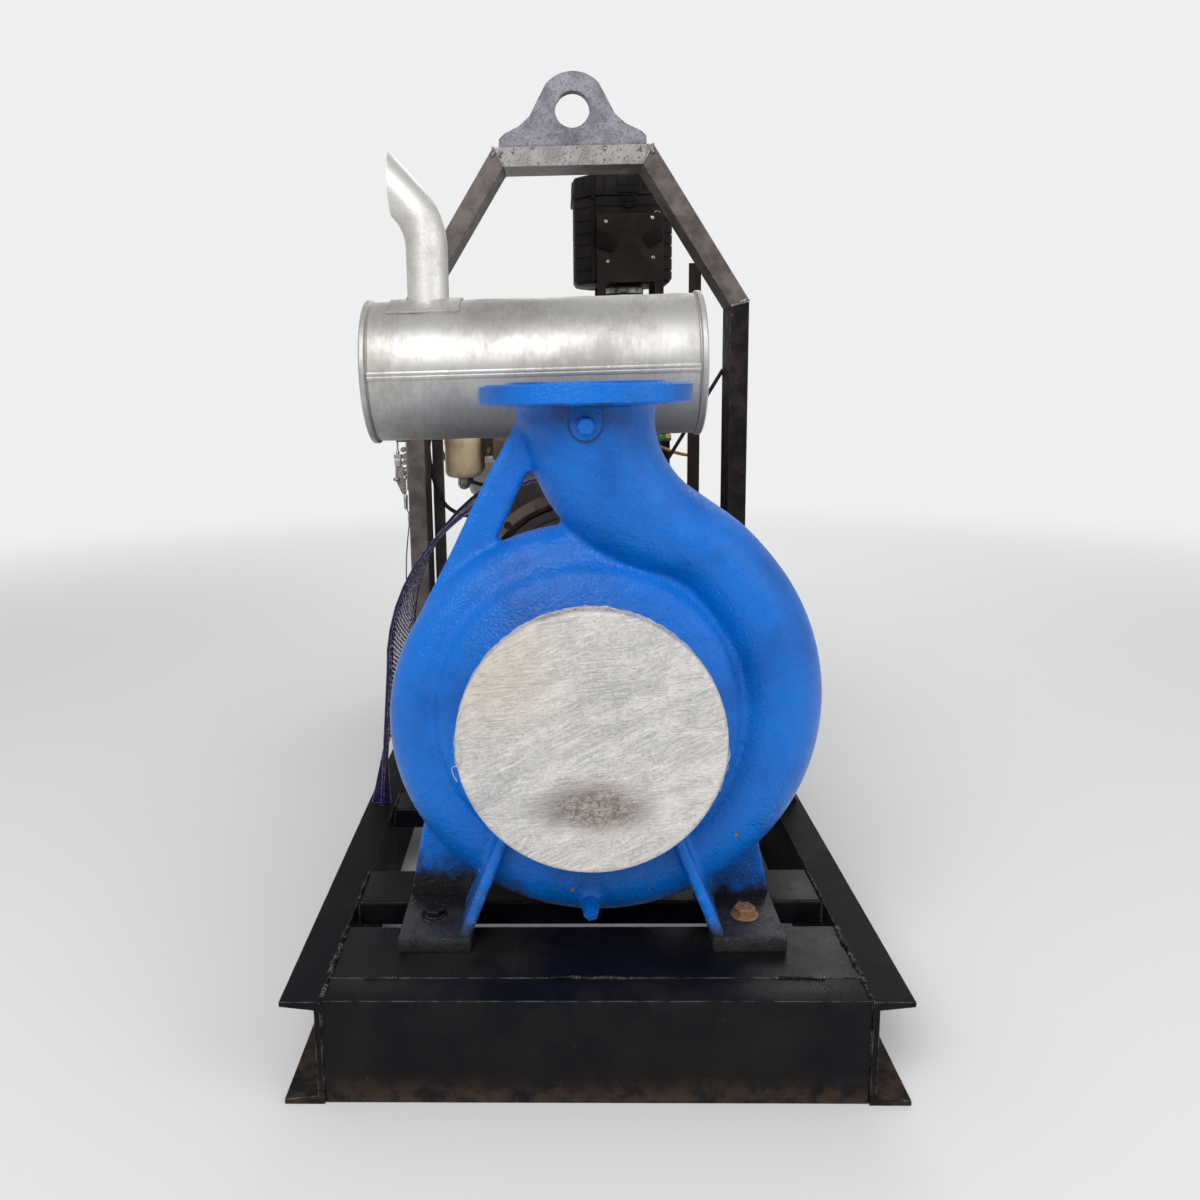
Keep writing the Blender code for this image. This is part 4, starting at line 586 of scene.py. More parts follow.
def realMesh(piece):
    # modifiers made real, so the piece is a plain mesh
    bpy.context.view_layer.update()
    made = bpy.data.meshes.new_from_object(piece.evaluated_get(bpy.context.evaluated_depsgraph_get()))
    piece.modifiers.clear()
    piece.data = made
    return piece


def cutWith(piece, tool, solver="EXACT"):
    step = piece.modifiers.new("cut", "BOOLEAN")
    step.operation = "DIFFERENCE"
    step.solver = solver
    step.object = tool
    realMesh(piece)
    bpy.data.objects.remove(tool, do_unlink=True)


def toolFrom(build):
    return linkPiece("tool", meshFrom("tool", build, None))


def addRings(bm, rings, closed=True, capped=True):
    # skin between lists of places, each ring as long as the next
    made = [[bm.verts.new(spot) for spot in spots] for spots in rings]
    count = len(made[0])
    for first, second in zip(made, made[1:]):
        for step in range(count if closed else count - 1):
            after = (step + 1) % count
            bm.faces.new((first[step], first[after], second[after], second[step]))
    if capped:
        for loop in (made[0], made[-1]):
            bm.faces.new(loop)


def onAxis(axis, radius, angle, along):
    # place at a radius and an angle round an axis
    u, v = radius * math.cos(angle), radius * math.sin(angle)
    return Vector({"Y": (u, along, v), "X": (along, u, v), "Z": (u, v, along)}[axis])


def addTurned(bm, profile, centre, axis="Y", steps=64):
    # profile is (radius, place along the axis); zero radius closes at a pole
    rings = [[bm.verts.new(onAxis(axis, radius, turn * step / steps, along) + Vector(centre))
              for radius, along in profile] for step in range(steps)]
    for first, second in zip(rings, rings[1:] + rings[:1]):
        for a in range(len(profile) - 1):
            if profile[a][0] or profile[a + 1][0]:
                bm.faces.new((first[a], first[a + 1], second[a + 1], second[a]))
    poles = [loop[a] for loop in rings for a in range(len(profile)) if profile[a][0] == 0.0]
    bmesh.ops.remove_doubles(bm, verts=poles, dist=0.000001)


def disc(radius, low, high):
    # profile of a plain round with flat ends
    return (0.0, low), (radius, low), (radius, high), (0.0, high)


def bevelEdges(bm, verts, bevel, segments, profile):
    edges = list({edge for vert in verts for edge in vert.link_edges})
    bmesh.ops.bevel(bm, geom=edges, offset=bevel, segments=segments, profile=profile, affect="EDGES")


def addBox(bm, low, high, bevel=0.0, segments=2):
    made = bmesh.ops.create_cube(bm, size=1.0)["verts"]
    low, high = Vector(low), Vector(high)
    bmesh.ops.scale(bm, vec=high - low, verts=made)
    bmesh.ops.translate(bm, vec=(low + high) / 2.0, verts=made)
    if bevel:
        bevelEdges(bm, made, bevel, segments, 0.5)


def circle(centre, side, other, radius, count, spin=0.0):
    angles = [spin + turn * a / count for a in range(count)]
    return [centre + (side * math.cos(angle) + other * math.sin(angle)) * radius for angle in angles]


def sidesOf(axis):
    axis = Vector(axis).normalized()
    side = axis.orthogonal().normalized()
    return axis, side, axis.cross(side)


def addTube(bm, path, radius, sides=10):
    # round bar along places
    spots = [Vector(spot) for spot in path]
    rings = []
    side = None
    for place, spot in enumerate(spots):
        along = (spots[min(place + 1, len(spots) - 1)] - spots[max(place - 1, 0)]).normalized()
        if side is None:
            side = along.orthogonal().normalized()
        side = (side - along * side.dot(along)).normalized()
        rings.append(circle(spot, side, along.cross(side), radius, sides))
    addRings(bm, rings)


def smoothPath(spots, per=6):
    # Catmull-Rom line through the places
    points = [Vector(spot) for spot in spots]
    points = [points[0] * 2.0 - points[1]] + points + [points[-1] * 2.0 - points[-2]]
    made = []
    for a in range(1, len(points) - 2):
        p0, p1, p2, p3 = points[a - 1:a + 3]
        for step in range(per):
            t = step / per
            made.append(0.5 * (2.0 * p1 + (p2 - p0) * t + (2.0 * p0 - 5.0 * p1 + 4.0 * p2 - p3) * t * t
                               + (3.0 * p1 - p0 - 3.0 * p2 + p3) * t * t * t))
    return made + [points[-2]]


def addBolt(bm, centre, axis, radius, height, chamfer=0.12, spin=0.3, washer=0.0):
    # hexagon head standing on centre and pointing along axis
    axis, side, other = sidesOf(axis)
    centre = Vector(centre)
    if washer:
        addRings(bm, [circle(centre + axis * rise * height, side, other, size, 20)
                      for size, rise in ((washer, 0.0), (washer, 0.16), (washer * 0.95, 0.22))])
        centre = centre + axis * height * 0.2
    small = 1.0 - chamfer
    addRings(bm, [circle(centre + axis * rise * height, side, other, radius * size, 6, spin)
                  for size, rise in ((1.0, 0.0), (1.0, small), (small, 1.0))])


def addPlate(bm, outline, plane, low, high, bevel=0.0):
    # flat plate from an outline of (u, v) places, thick from low to high along the plane's normal
    before = set(bm.verts)
    order = {"XZ": (0, 2, 1), "XY": (0, 1, 2), "YZ": (2, 0, 1)}[plane]
    addRings(bm, [[[(u, v, level)[a] for a in order] for u, v in outline] for level in (low, high)])
    if bevel:
        bevelEdges(bm, [vert for vert in bm.verts if vert not in before], bevel, 2, 0.6)


# pump casing: scroll, swan neck, drum, rib and legs grown together as one casting
casingSettings = {
    # angle from the right, outer radius, inner radius, half depth of the scroll
    "scroll": ((78, 0.257, 0.17, 0.042), (104, 0.26, 0.1725, 0.044), (148, 0.2675, 0.176, 0.0475),
               (180, 0.2785, 0.178, 0.05), (212, 0.2885, 0.1793, 0.054), (270, 0.2995, 0.182, 0.061),
               (305, 0.306, 0.1834, 0.0653), (336, 0.317, 0.1848, 0.0691), (360, 0.3235, 0.186, 0.072),
               (390, 0.3288, 0.198, 0.0745), (420, 0.333, 0.21, 0.077)),
    "first": 80.0, "last": 418.0, "steps": 96,
    # right edge and left edge as (distance from the discharge axis, share of the height), half depth
    "neck": (((0.1443, 0.429), (0.046, 0.0), 0.079), ((0.1268, 0.488), (-0.002, 0.126), 0.082),
             ((0.113, 0.559), (-0.034, 0.268), 0.085), ((0.102, 0.638), (-0.057, 0.409), 0.087),
             ((0.095, 0.728), (-0.072, 0.555), 0.089), ((0.092, 0.819), (-0.085, 0.736), 0.091),
             ((0.092, 0.921), (-0.092, 0.921), 0.092)),
    "neckStart": 0.196, "neckTop": 0.45, "sides": 56, "fairRounds": 60,
    "drum": ((0.0, -0.158), (0.166, -0.158), (0.169, -0.15), (0.169, -0.136), (0.118, -0.13), (0.122, -0.106),
             (0.15, -0.084), (0.178, -0.0735), (0.198, -0.0655), (0.205, -0.06), (0.211, -0.0515),
             (0.222, -0.045), (0.232, -0.03), (0.237, 0.04), (0.237, 0.066), (0.0, 0.066)),
    "collar": ((0.0, 0.38), (0.088, 0.38), (0.0925, 0.398), (0.094, 0.412), (0.099, 0.4205), (0.112, 0.4245),
               (0.128, 0.426), (0.128, 0.436), (0.0, 0.436)),
    "mouth": ((0.0, 0.362), (0.056, 0.362), (0.0765, 0.388), (0.0765, 0.48), (0.0, 0.48)),
    "wall": 0.014, "boreFrom": 60, "boreSides": 40, "boreVoxel": 0.004,
    "voxel": 0.0045, "smoothTurns": 6,
    "foot": ((0.165, 0.265), 0.1, 0.022),  # reach from the middle, half length, height
    "legOutline": ((0.165, -0.301), (0.265, -0.301), (0.234, -0.15), (0.19, -0.12), (0.08, -0.2)),
    "gusset": ((0.173, -0.297), (0.112, -0.15)), "gussetFront": (-0.101, -0.078),
}
# the neck plug's place, measured from the pump's middle
plugX, plugZ = -0.002, shaftZ + 0.396


def curveTable(table, place, column):
    # smooth value between the rows of a table
    rows = [(row[0], row[column]) for row in table]
    last = len(rows) - 1
    a = next(a for a in range(last) if place <= rows[a + 1][0] or a == last - 1)
    (x0, y0), (x1, y1), (x2, y2), (x3, y3) = (rows[min(max(a + step, 0), last)] for step in (-1, 0, 1, 2))
    t = (place - x1) / (x2 - x1)
    m1 = (y2 - y0) / (x2 - x0) * (x2 - x1)
    m2 = (y3 - y1) / (x3 - x1) * (x2 - x1)
    return ((2 * t ** 3 - 3 * t ** 2 + 1) * y1 + (t ** 3 - 2 * t ** 2 + t) * m1
            + (3 * t ** 2 - 2 * t ** 3) * y2 + (t ** 3 - t ** 2) * m2)


def fairSections(sections, rounds):
    # even out the run from the scroll into the neck, so its outline has no flats
    rows = [Vector((out.x, out.y, inn.x, inn.y)) for out, inn, _ in sections]
    depths = [depth for _, _, depth in sections]
    for count in range(rounds * 2):
        # a step in and a step out by turns, so nothing shrinks
        share = -0.53 if count % 2 else 0.5
        rows, depths = ([run[0]] + [run[a] + ((run[a - 1] + run[a + 1]) / 2.0 - run[a]) * share
                                    for a in range(1, len(run) - 1)] + [run[-1]] for run in (rows, depths))
    return [(Vector(row[:2]), Vector(row[2:]), depth) for row, depth in zip(rows, depths)]


def casingSections(inset=0.0):
    s = casingSettings
    sections = []
    for step in range(s["steps"] + 1):
        angle = s["first"] + (s["last"] - s["first"]) * step / s["steps"]
        away = Vector((math.cos(math.radians(angle)), math.sin(math.radians(angle))))
        outer, inner, depth = (curveTable(s["scroll"], angle, column) for column in (1, 2, 3))
        sections.append((away * outer, away * inner, depth))
    rise = s["neckTop"] - s["neckStart"]
    marks = [sections[-8], sections[-4], sections[-1]]
    marks += [(*(Vector((edge[0], s["neckStart"] + rise * edge[1])) for edge in (right, left)), depth)
              for right, left, depth in s["neck"]]
    outer = smoothPath([(mark[0].x, mark[0].y, mark[2]) for mark in marks])
    inner = smoothPath([(mark[1].x, mark[1].y, 0.0) for mark in marks])
    joined = sections[:-8] + [(Vector(o[:2]), Vector(i[:2]), o.z) for o, i in zip(outer, inner)]
    moved = []
    for out, inn, depth in fairSections(joined, s["fairRounds"]):
        across = (out - inn).normalized() * inset
        moved.append((out - across, inn + across, depth - inset))
    return moved


def addFlow(bm, sections, sides):
    rings = []
    for out, inn, depth in sections:
        centre, arm = (out + inn) / 2.0, (out - inn) / 2.0
        loop = []
        for side in range(sides):
            angle = turn * side / sides
            spot = centre + arm * math.cos(angle)
            loop.append((spot.x, pumpY + depth * math.sin(angle), shaftZ + spot.y))
        rings.append(loop)
    addRings(bm, rings)


def addLeg(bm, side):
    s = casingSettings
    addPlate(bm, [(side * u, shaftZ + v) for u, v in s["legOutline"]], "XZ", pumpY + 0.015, pumpY + 0.035)
    low, high = (Vector((side * u, v)) for u, v in s["gusset"])
    along = high - low
    across = Vector((along.y, -along.x)).normalized() * 0.008
    rings = []
    for spot, front in zip((low - along.normalized() * 0.006, high), s["gussetFront"]):
        rings.append([(spot.x + across.x * way, pumpY + depth, shaftZ + spot.y + across.y * way)
                      for way, depth in ((1.0, front), (-1.0, front), (-1.0, 0.02), (1.0, 0.02))])
    addRings(bm, rings)


def addRib(bm):
    s = casingSettings

    def level(share):
        return s["neckStart"] + (s["neckTop"] - s["neckStart"]) * share

    # two straight arms of the web leave the three-sided window open between them
    left = [(-0.08, level(0.9)), (-0.093, level(0.795)), (-0.145, level(0.425)), (-0.19, level(0.071)),
            (-0.256, 0.092), (-0.19, 0.14), (-0.128, level(0.125)), (-0.081, level(0.508)),
            (-0.07, level(0.56)), (-0.02, level(0.6)), (-0.02, level(0.9))]
    low = [(-0.19, 0.14), (-0.1, 0.18), (0.06, 0.2), (0.06, level(0.34)), (0.018, level(0.305)),
           (0.004, level(0.222)), (-0.07, level(0.195)), (-0.119, level(0.126)), (-0.15, level(0.05))]
    for outline in (left, low):
        addPlate(bm, [(u, shaftZ + v) for u, v in outline], "XZ", pumpY - 0.009, pumpY + 0.009)


def remesh(piece, voxel):
    blend = piece.modifiers.new("grow_together", "REMESH")
    blend.mode = "VOXEL"
    blend.voxel_size = voxel


def makeCasing():
    s = casingSettings

    def build(bm):
        sections = casingSections()
        half = len(sections) // 2
        addFlow(bm, sections[:half + 1], s["sides"])
        addFlow(bm, sections[half:], s["sides"])
        addTurned(bm, s["drum"], (0.0, pumpY, shaftZ), "Y", 128)
        addTurned(bm, s["collar"], (0.0, pumpY, shaftZ), "Z", 96)
        addRib(bm)
        for side in bothSides:
            addLeg(bm, side)
        # boss under the flange for the neck plug, with the web that carries it
        addTube(bm, [(plugX, pumpY - depth, plugZ) for depth in (0.06, 0.092)], 0.0185, 32)
        addBox(bm, (-0.0205, pumpY - 0.091, plugZ), (0.0165, pumpY - 0.05, shaftZ + 0.43))
        addTube(bm, [(0.0, pumpY - 0.03, shaftZ - 0.262), (0.0, pumpY - 0.064, shaftZ - 0.2675)], 0.014, 28)

    def hollow(bm):
        addFlow(bm, casingSections(s["wall"])[s["boreFrom"]:-4], s["boreSides"])
        addTurned(bm, s["mouth"], (0.0, pumpY, shaftZ), "Z", 64)

    casing = linkPiece("casing", meshFrom("casing", build, None))
    remesh(casing, s["voxel"])
    ease = casing.modifiers.new("cast_fillets", "SMOOTH")
    ease.factor = 0.5
    ease.iterations = s["smoothTurns"]
    realMesh(casing)
    bore = toolFrom(hollow)
    remesh(bore, s["boreVoxel"])
    cutWith(casing, realMesh(bore), "MANIFOLD")
    casing.data.materials.clear()
    casing.data.materials.append(finishes["pumpBlue"])
    casing.data.shade_smooth()
    settle(casing, "pump_paint", "pump_casing")
    print("casing", len(casing.data.polygons), "faces")

    def feet(bm):
        reach, length, height = s["foot"]
        for side in bothSides:
            near, far = sorted(side * x for x in reach)
            low, high = (near, pumpY - length, railTop + 0.0003), (far, pumpY + length, railTop + height)
            addBox(bm, low, high, 0.003)

    makePiece("casing_feet", feet, "pumpBlue", "pump_paint")


makeCasing()

# discharge flange and plugs
flangeSettings = {"outside": 0.1425, "face": 0.106, "bore": 0.0765, "top": 0.45, "rise": 0.003,
                  "under": 0.421, "neck": 0.03, "holes": 8, "circle": 0.12, "hole": 0.0115}


def makeFlange():
    s = flangeSettings
    edge, face, bore, top, under = s["outside"], s["face"], s["bore"], s["top"], s["under"]
    rim, neck, inside = top - s["rise"], under - s["neck"], bore + 0.01
    profile = [(bore, neck), (bore, top - 0.0015), (bore + 0.0015, top), (face, top), (face + 0.0015, rim),
               (edge - 0.0025, rim), (edge, rim - 0.0025), (edge, under + 0.003), (edge - 0.003, under),
               (inside, under), (inside, neck), (bore, neck)]

    def build(bm):
        addTurned(bm, profile, (0.0, pumpY, shaftZ), "Z", 96)
        bmesh.ops.remove_doubles(bm, verts=bm.verts, dist=0.00001)

    def holes(bm):
        for a in range(s["holes"]):
            angle = turn * (a + 0.5) / s["holes"]
            addTube(bm, [onAxis("Z", s["circle"], angle, shaftZ + under + rise) + Vector((0.0, pumpY, 0.0))
                         for rise in (-0.02, 0.06)], s["hole"], 28)

    flange = linkPiece("discharge_flange", meshFrom("discharge_flange", build, None), "pumpBlue")
    cutWith(flange, toolFrom(holes))
    roundOff(flange.data, 32.0)
    settle(flange, "pump_paint")


def makePlugs():
    front = pumpY - 0.0985

    def neck(bm):
        addBolt(bm, (plugX, front, plugZ), (0.0, -1.0, -0.08), 0.0118, 0.013, 0.14, 0.25, 0.0105)

    makePiece("neck_hex_plug", neck, "plugBlue", "pump_paint", "neck_plug", smooth=30.0)
    # rounded boss round the plug, run up into the flange
    tab = [(plugX + 0.02 * math.cos(math.radians(a)), plugZ + 0.02 * math.sin(math.radians(a)))
           for a in range(180, 361, 12)]
    tab = [(-0.0225, shaftZ + 0.426)] + tab + [(0.0185, shaftZ + 0.426)]
    makePiece("neck_boss", lambda bm: addPlate(bm, tab, "XZ", front, pumpY - 0.07, 0.0036), "plugBlue",
              "pump_paint", smooth=40.0)

    def drain(bm):
        addBolt(bm, (0.0, pumpY - 0.0645, shaftZ - 0.2678), (0.0, -1.0, -0.12), 0.0112, 0.022, 0.1, 0.5)
        addTube(bm, [(0.0, pumpY - 0.06, shaftZ - 0.267), (0.0, pumpY - 0.07, shaftZ - 0.2685)], 0.0128, 24)

    makePiece("drain_hex_plug", drain, "plugBlue", "pump_paint", "drain_plug", smooth=30.0)


makeFlange()
makePlugs()
print("flange and plugs")

# stretch film over the suction flange
wrapSettings = {"radius": 0.1715, "front": -0.1621, "rear": -0.128, "pitch": 0.0016, "seed": 11,
                "sag": 0.0016, "ridge": 0.0007, "count": 420, "inner": 0.03, "round": 0.0035, "sideSteps": 8}
# frayed strands: from and to in degrees, how many, how far they stand off
strandGroups = ((74.0, 104.0, 60, 0.0052), (-24.0, -6.0, 22, 0.0045), (178.0, 192.0, 8, 0.005),
                (60.0, 74.0, 12, 0.0028), (104.0, 118.0, 10, 0.0025))
# the loose string at the left, from the pump's middle
looseString = ((-0.169, -0.166, 0.016), (-0.163, -0.1665, -0.006), (-0.166, -0.166, -0.022),
               (-0.172, -0.163, -0.026), (-0.1765, -0.158, -0.03), (-0.1755, -0.155, -0.04),
               (-0.171, -0.153, -0.05))


def fractal(spot, rough, gap, octaves):
    return noise.fractal(Vector(spot), rough, gap, octaves)


def wrapHeight(u, v):
    # lumps of the pipe flange under the film, and folds that run nearly level
    broad = fractal((u * 16.0, v * 22.0, 3.1), 0.8, 2.0, 3)
    level = fractal((u * 20.0 + v * 3.0, v * 150.0, 7.7), 0.7, 2.1, 4)
    slantU, slantV = u * 0.83 + v * 0.56, v * 0.83 - u * 0.56
    slant = fractal((slantU * 18.0, slantV * 140.0, 1.3), 0.7, 2.1, 4)
    share = min(max((noise.noise(Vector((u * 9.0, v * 9.0, 5.0))) + 0.25) * 1.6, 0.0), 1.0)
    folds = level * (1.0 - share) + slant * share
    return wrapSettings["sag"] * broad * 0.6 + wrapSettings["ridge"] * (1.0 - abs(folds) * 1.8)


def wrapFace(bm):
    # rings of the film's face from the middle outwards, fewer places in the inner ones
    s = wrapSettings
    radii = [s["radius"]]
    while radii[-1] - s["pitch"] > 0.004:
        radii.append(radii[-1] - s["pitch"])
    made = []
    for radius in [0.0] + radii[::-1]:
        steps = 1 if radius == 0.0 else s["count"] // (1 if radius > s["inner"] else 4)
        loop = []
        for a in range(steps):
            angle = turn * a / steps
            u, v = radius * math.cos(angle), radius * math.sin(angle)
            edge = min((s["radius"] - radius) / 0.006, 1.0)
            rounded = s["round"] * (1.0 - math.sqrt(max(1.0 - (1.0 - edge) ** 2, 0.0)))
            y = pumpY + s["front"] + 0.001 - wrapHeight(u, v) * edge + rounded
            loop.append(bm.verts.new((u, y, shaftZ + v)))
        made.append(loop)
    for first, second in zip(made, made[1:]):
        per = len(second) // len(first)
        for a, vert in enumerate(first):
            outer = [second[(a * per + step) % len(second)] for step in range(per + 1)]
            if len(first) > 1:
                bm.faces.new([vert] + outer + [first[(a + 1) % len(first)]])
            else:
                for one, other in zip(outer, outer[1:]):
                    bm.faces.new((vert, one, other))
    return made[-1]


def buildWrap(bm):
    s = wrapSettings
    last = wrapFace(bm)
    # side of the wrap, with its gathered rear edge
    for depth in range(1, s["sideSteps"] + 1):
        share = depth / s["sideSteps"]
        loop = []
        for a in range(s["count"]):
            angle = turn * a / s["count"]
            c, d = math.cos(angle), math.sin(angle)
            crease = fractal((c * 9.0, d * 9.0, share * 2.5), 0.8, 2.0, 4)
            size = s["radius"] + 0.0004 + 0.0012 * crease * share
            ragged = 0.006 * noise.noise(Vector((c * 14.0, d * 14.0, 8.0)))
            place = s["front"] + 0.0045 + (s["rear"] - s["front"] - 0.0045 + ragged) * share
            loop.append(bm.verts.new((size * c, pumpY + place, shaftZ + size * d)))
        for a in range(s["count"]):
            b = (a + 1) % s["count"]
            bm.faces.new((last[a], loop[a], loop[b], last[b]))
        last = loop


def buildStrands(bm):
    s = wrapSettings
    for first, last, count, rise in strandGroups:
        for _ in range(count):
            angle = math.radians(random.uniform(first, last))
            lean = random.uniform(0.05, 0.16) * random.choice((-1.0, 1.0))
            high = random.uniform(0.1, 1.0) * rise
            spots = []
            for step in range(6):
                share = step / 5.0
                here = angle + lean * share
                size = s["radius"] + 0.0003 + high * math.sin(share * math.pi * 0.9)
                size += random.uniform(-0.0004, 0.0004)
                y = pumpY + s["front"] + 0.006 + 0.012 * share + random.uniform(-0.002, 0.002)
                spots.append((size * math.cos(here), y, shaftZ + size * math.sin(here)))
            addTube(bm, smoothPath(spots, 3), random.uniform(0.00018, 0.00045), 5)
    addTube(bm, smoothPath([(x, pumpY + y + 0.003, shaftZ + z) for x, y, z in looseString], 5), 0.0005, 6)


makePiece("film_wrap", buildWrap, "filmWrap", "wrap_film", "suction_film_wrap", smooth=60.0)
random.seed(wrapSettings["seed"])
makePiece("film_strands", buildStrands, "filmWrap", "wrap_film", smooth=80.0)
print("film wrap")

# coupling guard: expanded metal between the two straps
guardSettings = {"radius": 0.353, "drop": 0.059, "lean": 0.022, "inset": 0.0078, "legEnd": -0.197,
                 "front": 0.387, "rear": 0.71, "shortWay": 0.0092, "longWay": 0.0216, "strand": 0.0017,
                 "thick": 0.0012,
                 "twist": 0.0006, "archSteps": 60}
socketKinds = {"Shape": "NodeSocketObject", "Finish": "NodeSocketMaterial"}


class Tree:
    # a Geometry Nodes tree; it ends with Realize Instances and Set Material
    def __init__(self, name, *inputs):
        self.tree = bpy.data.node_groups.new(name, "GeometryNodeTree")
        for way in ("INPUT", "OUTPUT"):
            self.tree.interface.new_socket("Geometry", in_out=way, socket_type="NodeSocketGeometry")
        for title in (*inputs, "Finish"):
            kind = socketKinds.get(title, "NodeSocketFloat")
            self.tree.interface.new_socket(title, in_out="INPUT", socket_type=kind)
        self.start = self.tree.nodes.new("NodeGroupInput").outputs
        self.end = self.tree.nodes.new("NodeGroupOutput").inputs

    def add(self, kind, inputs=None, **settings):
        return addNode(self.tree, kind, inputs, **settings).outputs[0]

    def instances(self, points, direction, scale=None, **turning):
        # the input shape on every point, turned to the direction
        shape = addNode(self.tree, "GeometryNodeObjectInfo", {"Object": self.start["Shape"]},
                        transform_space="ORIGINAL").outputs["Geometry"]
        turned = self.add("FunctionNodeAlignRotationToVector", {"Vector": direction}, **turning)
        inputs = {"Points": points, "Instance": shape, "Rotation": turned}
        if scale:
            inputs["Scale"] = scale
        return self.close(self.add("GeometryNodeInstanceOnPoints", inputs))

    def close(self, geometry):
        real = self.add("GeometryNodeRealizeInstances", {"Geometry": geometry})
        done = self.add("GeometryNodeSetMaterial", {"Geometry": real, "Material": self.start["Finish"]})
        self.tree.links.new(done, self.end[0])
        return self.tree


def growTree(piece, tree, **values):
    step = piece.modifiers.new(tree.name, "NODES")
    step.node_group = tree
    for item in tree.interface.items_tree:
        if item.item_type == "SOCKET" and item.in_out == "INPUT" and item.name in values:
            step[item.identifier] = values[item.name]
    return realMesh(piece)


def pathsPiece(name, paths):
    # a piece of bare lines, for a tree to build on
    mesh = bpy.data.meshes.new(name)
    spots, edges = [], []
    for path in paths:
        edges += [(len(spots) + a, len(spots) + a + 1) for a in range(len(path) - 1)]
        spots += [tuple(spot) for spot in path]
    mesh.from_pydata(spots, edges, [])
    return linkPiece(name, mesh)


def alongPathTree():
    # copies of a shape at even steps along a path, turned with the path about Y
    t = Tree("along_path", "Shape", "Step")
    curve = t.add("GeometryNodeMeshToCurve", {"Mesh": t.start["Geometry"]})
    even = t.add("GeometryNodeResampleCurve", {"Curve": curve, "Length": t.start["Step"]}, mode="LENGTH")
    return t.instances(even, t.add("GeometryNodeInputTangent"), axis="X", pivot_axis="Y")


def weldTree():
    # lumpy bead along a path: overlapping ripples, with some spatter in its size
    t = Tree("weld_bead", "Size", "Ripple", "Lumps")
    curve = t.add("GeometryNodeMeshToCurve", {"Mesh": t.start["Geometry"]})
    even = t.add("GeometryNodeResampleCurve", {"Curve": curve, "Length": 0.0013}, mode="LENGTH")
    place = t.add("GeometryNodeInputPosition")
    length = addNode(t.tree, "GeometryNodeSplineParameter").outputs["Length"]
    pitch = Value(t.tree, t.add("ShaderNodeMath", {0: math.pi, 1: t.start["Ripple"]}, operation="DIVIDE"))
    lumps, jitter = (
        addNode(t.tree, "ShaderNodeTexNoise", {"Vector": place, "Scale": scale, "Detail": detail}).outputs
        for scale, detail in ((95.0, 3.0), (160.0, 2.0)))
    wave = (pitch * length).math("SINE").size()
    size = (wave * 0.35 + Value(t.tree, lumps["Fac"]) * 1.3) * t.start["Size"]
    ring = t.add("GeometryNodeCurvePrimitiveCircle", {"Resolution": 8, "Radius": 1.0})
    inputs = {"Curve": even, "Profile Curve": ring, "Fill Caps": True, "Scale": size}
    body = t.add("GeometryNodeCurveToMesh", inputs)
    shift = t.add("ShaderNodeVectorMath", {0: jitter["Color"], 1: (0.5, 0.5, 0.5)}, operation="SUBTRACT")
    shift = t.add("ShaderNodeVectorMath", {0: shift, "Scale": t.start["Lumps"]}, operation="SCALE")
    return t.close(t.add("GeometryNodeSetPosition", {"Geometry": body, "Offset": shift}))


def pointsTree():
    # one shape on every point, standing along the point's own axis
    t = Tree("set_on_points", "Shape")
    points = t.add("GeometryNodeMeshToPoints", {"Mesh": t.start["Geometry"]})
    axis, size = (t.add("GeometryNodeInputNamedAttribute", {"Name": name}, data_type=kind)
                  for name, kind in (("axis", "FLOAT_VECTOR"), ("size", "FLOAT")))
    return t.instances(points, axis, size, axis="Z")


alongPath, weldBead, setOnPoints = alongPathTree(), weldTree(), pointsTree()


def guardStrand(bm):
    # one zigzag strand across the guard, square in section
    s = guardSettings
    half, thick = s["strand"] / 2.0, s["thick"] / 2.0
    steps = int(round((s["rear"] - s["front"]) / s["longWay"] * 4))
    rings = []
    for step in range(steps + 1):
        across = s["front"] + (s["rear"] - s["front"]) * step / steps
        twist = s["twist"] * (step % 4) / 4.0
        shift = ((0.0, 1.0, 1.0, 0.0)[step % 4] - 0.5) * (s["shortWay"] - s["strand"] * 0.6)
        rings.append([(shift - half, across, -thick - twist), (shift + half, across, -thick + twist),
                      (shift + half, across, thick + twist), (shift - half, across, thick - twist)])
    addRings(bm, rings)


def makeGuardMesh():
    s = guardSettings
    radius = s["radius"] - s["inset"]
    reach = radius + s["lean"] * (s["legEnd"] + s["drop"]) / (railTop - shaftZ + s["drop"])
    angles = [math.pi - math.pi * step / s["archSteps"] for step in range(s["archSteps"] + 1)]
    arch = [(radius * math.cos(angle), -s["drop"] + radius * math.sin(angle)) for angle in angles]
    spots = [(-reach, s["legEnd"])] + arch + [(reach, s["legEnd"])]
    piece = pathsPiece("guard_expanded_metal", [[(u, pumpY, shaftZ + v) for u, v in spots]])
    shape = toolFrom(guardStrand)
    growTree(piece, alongPath, Shape=shape, Step=s["shortWay"], Finish=finishes["guardPaint"])
    bpy.data.objects.remove(shape, do_unlink=True)
    settle(piece, "guard_paint", "guard_mesh")


makeGuardMesh()
print("guard mesh")

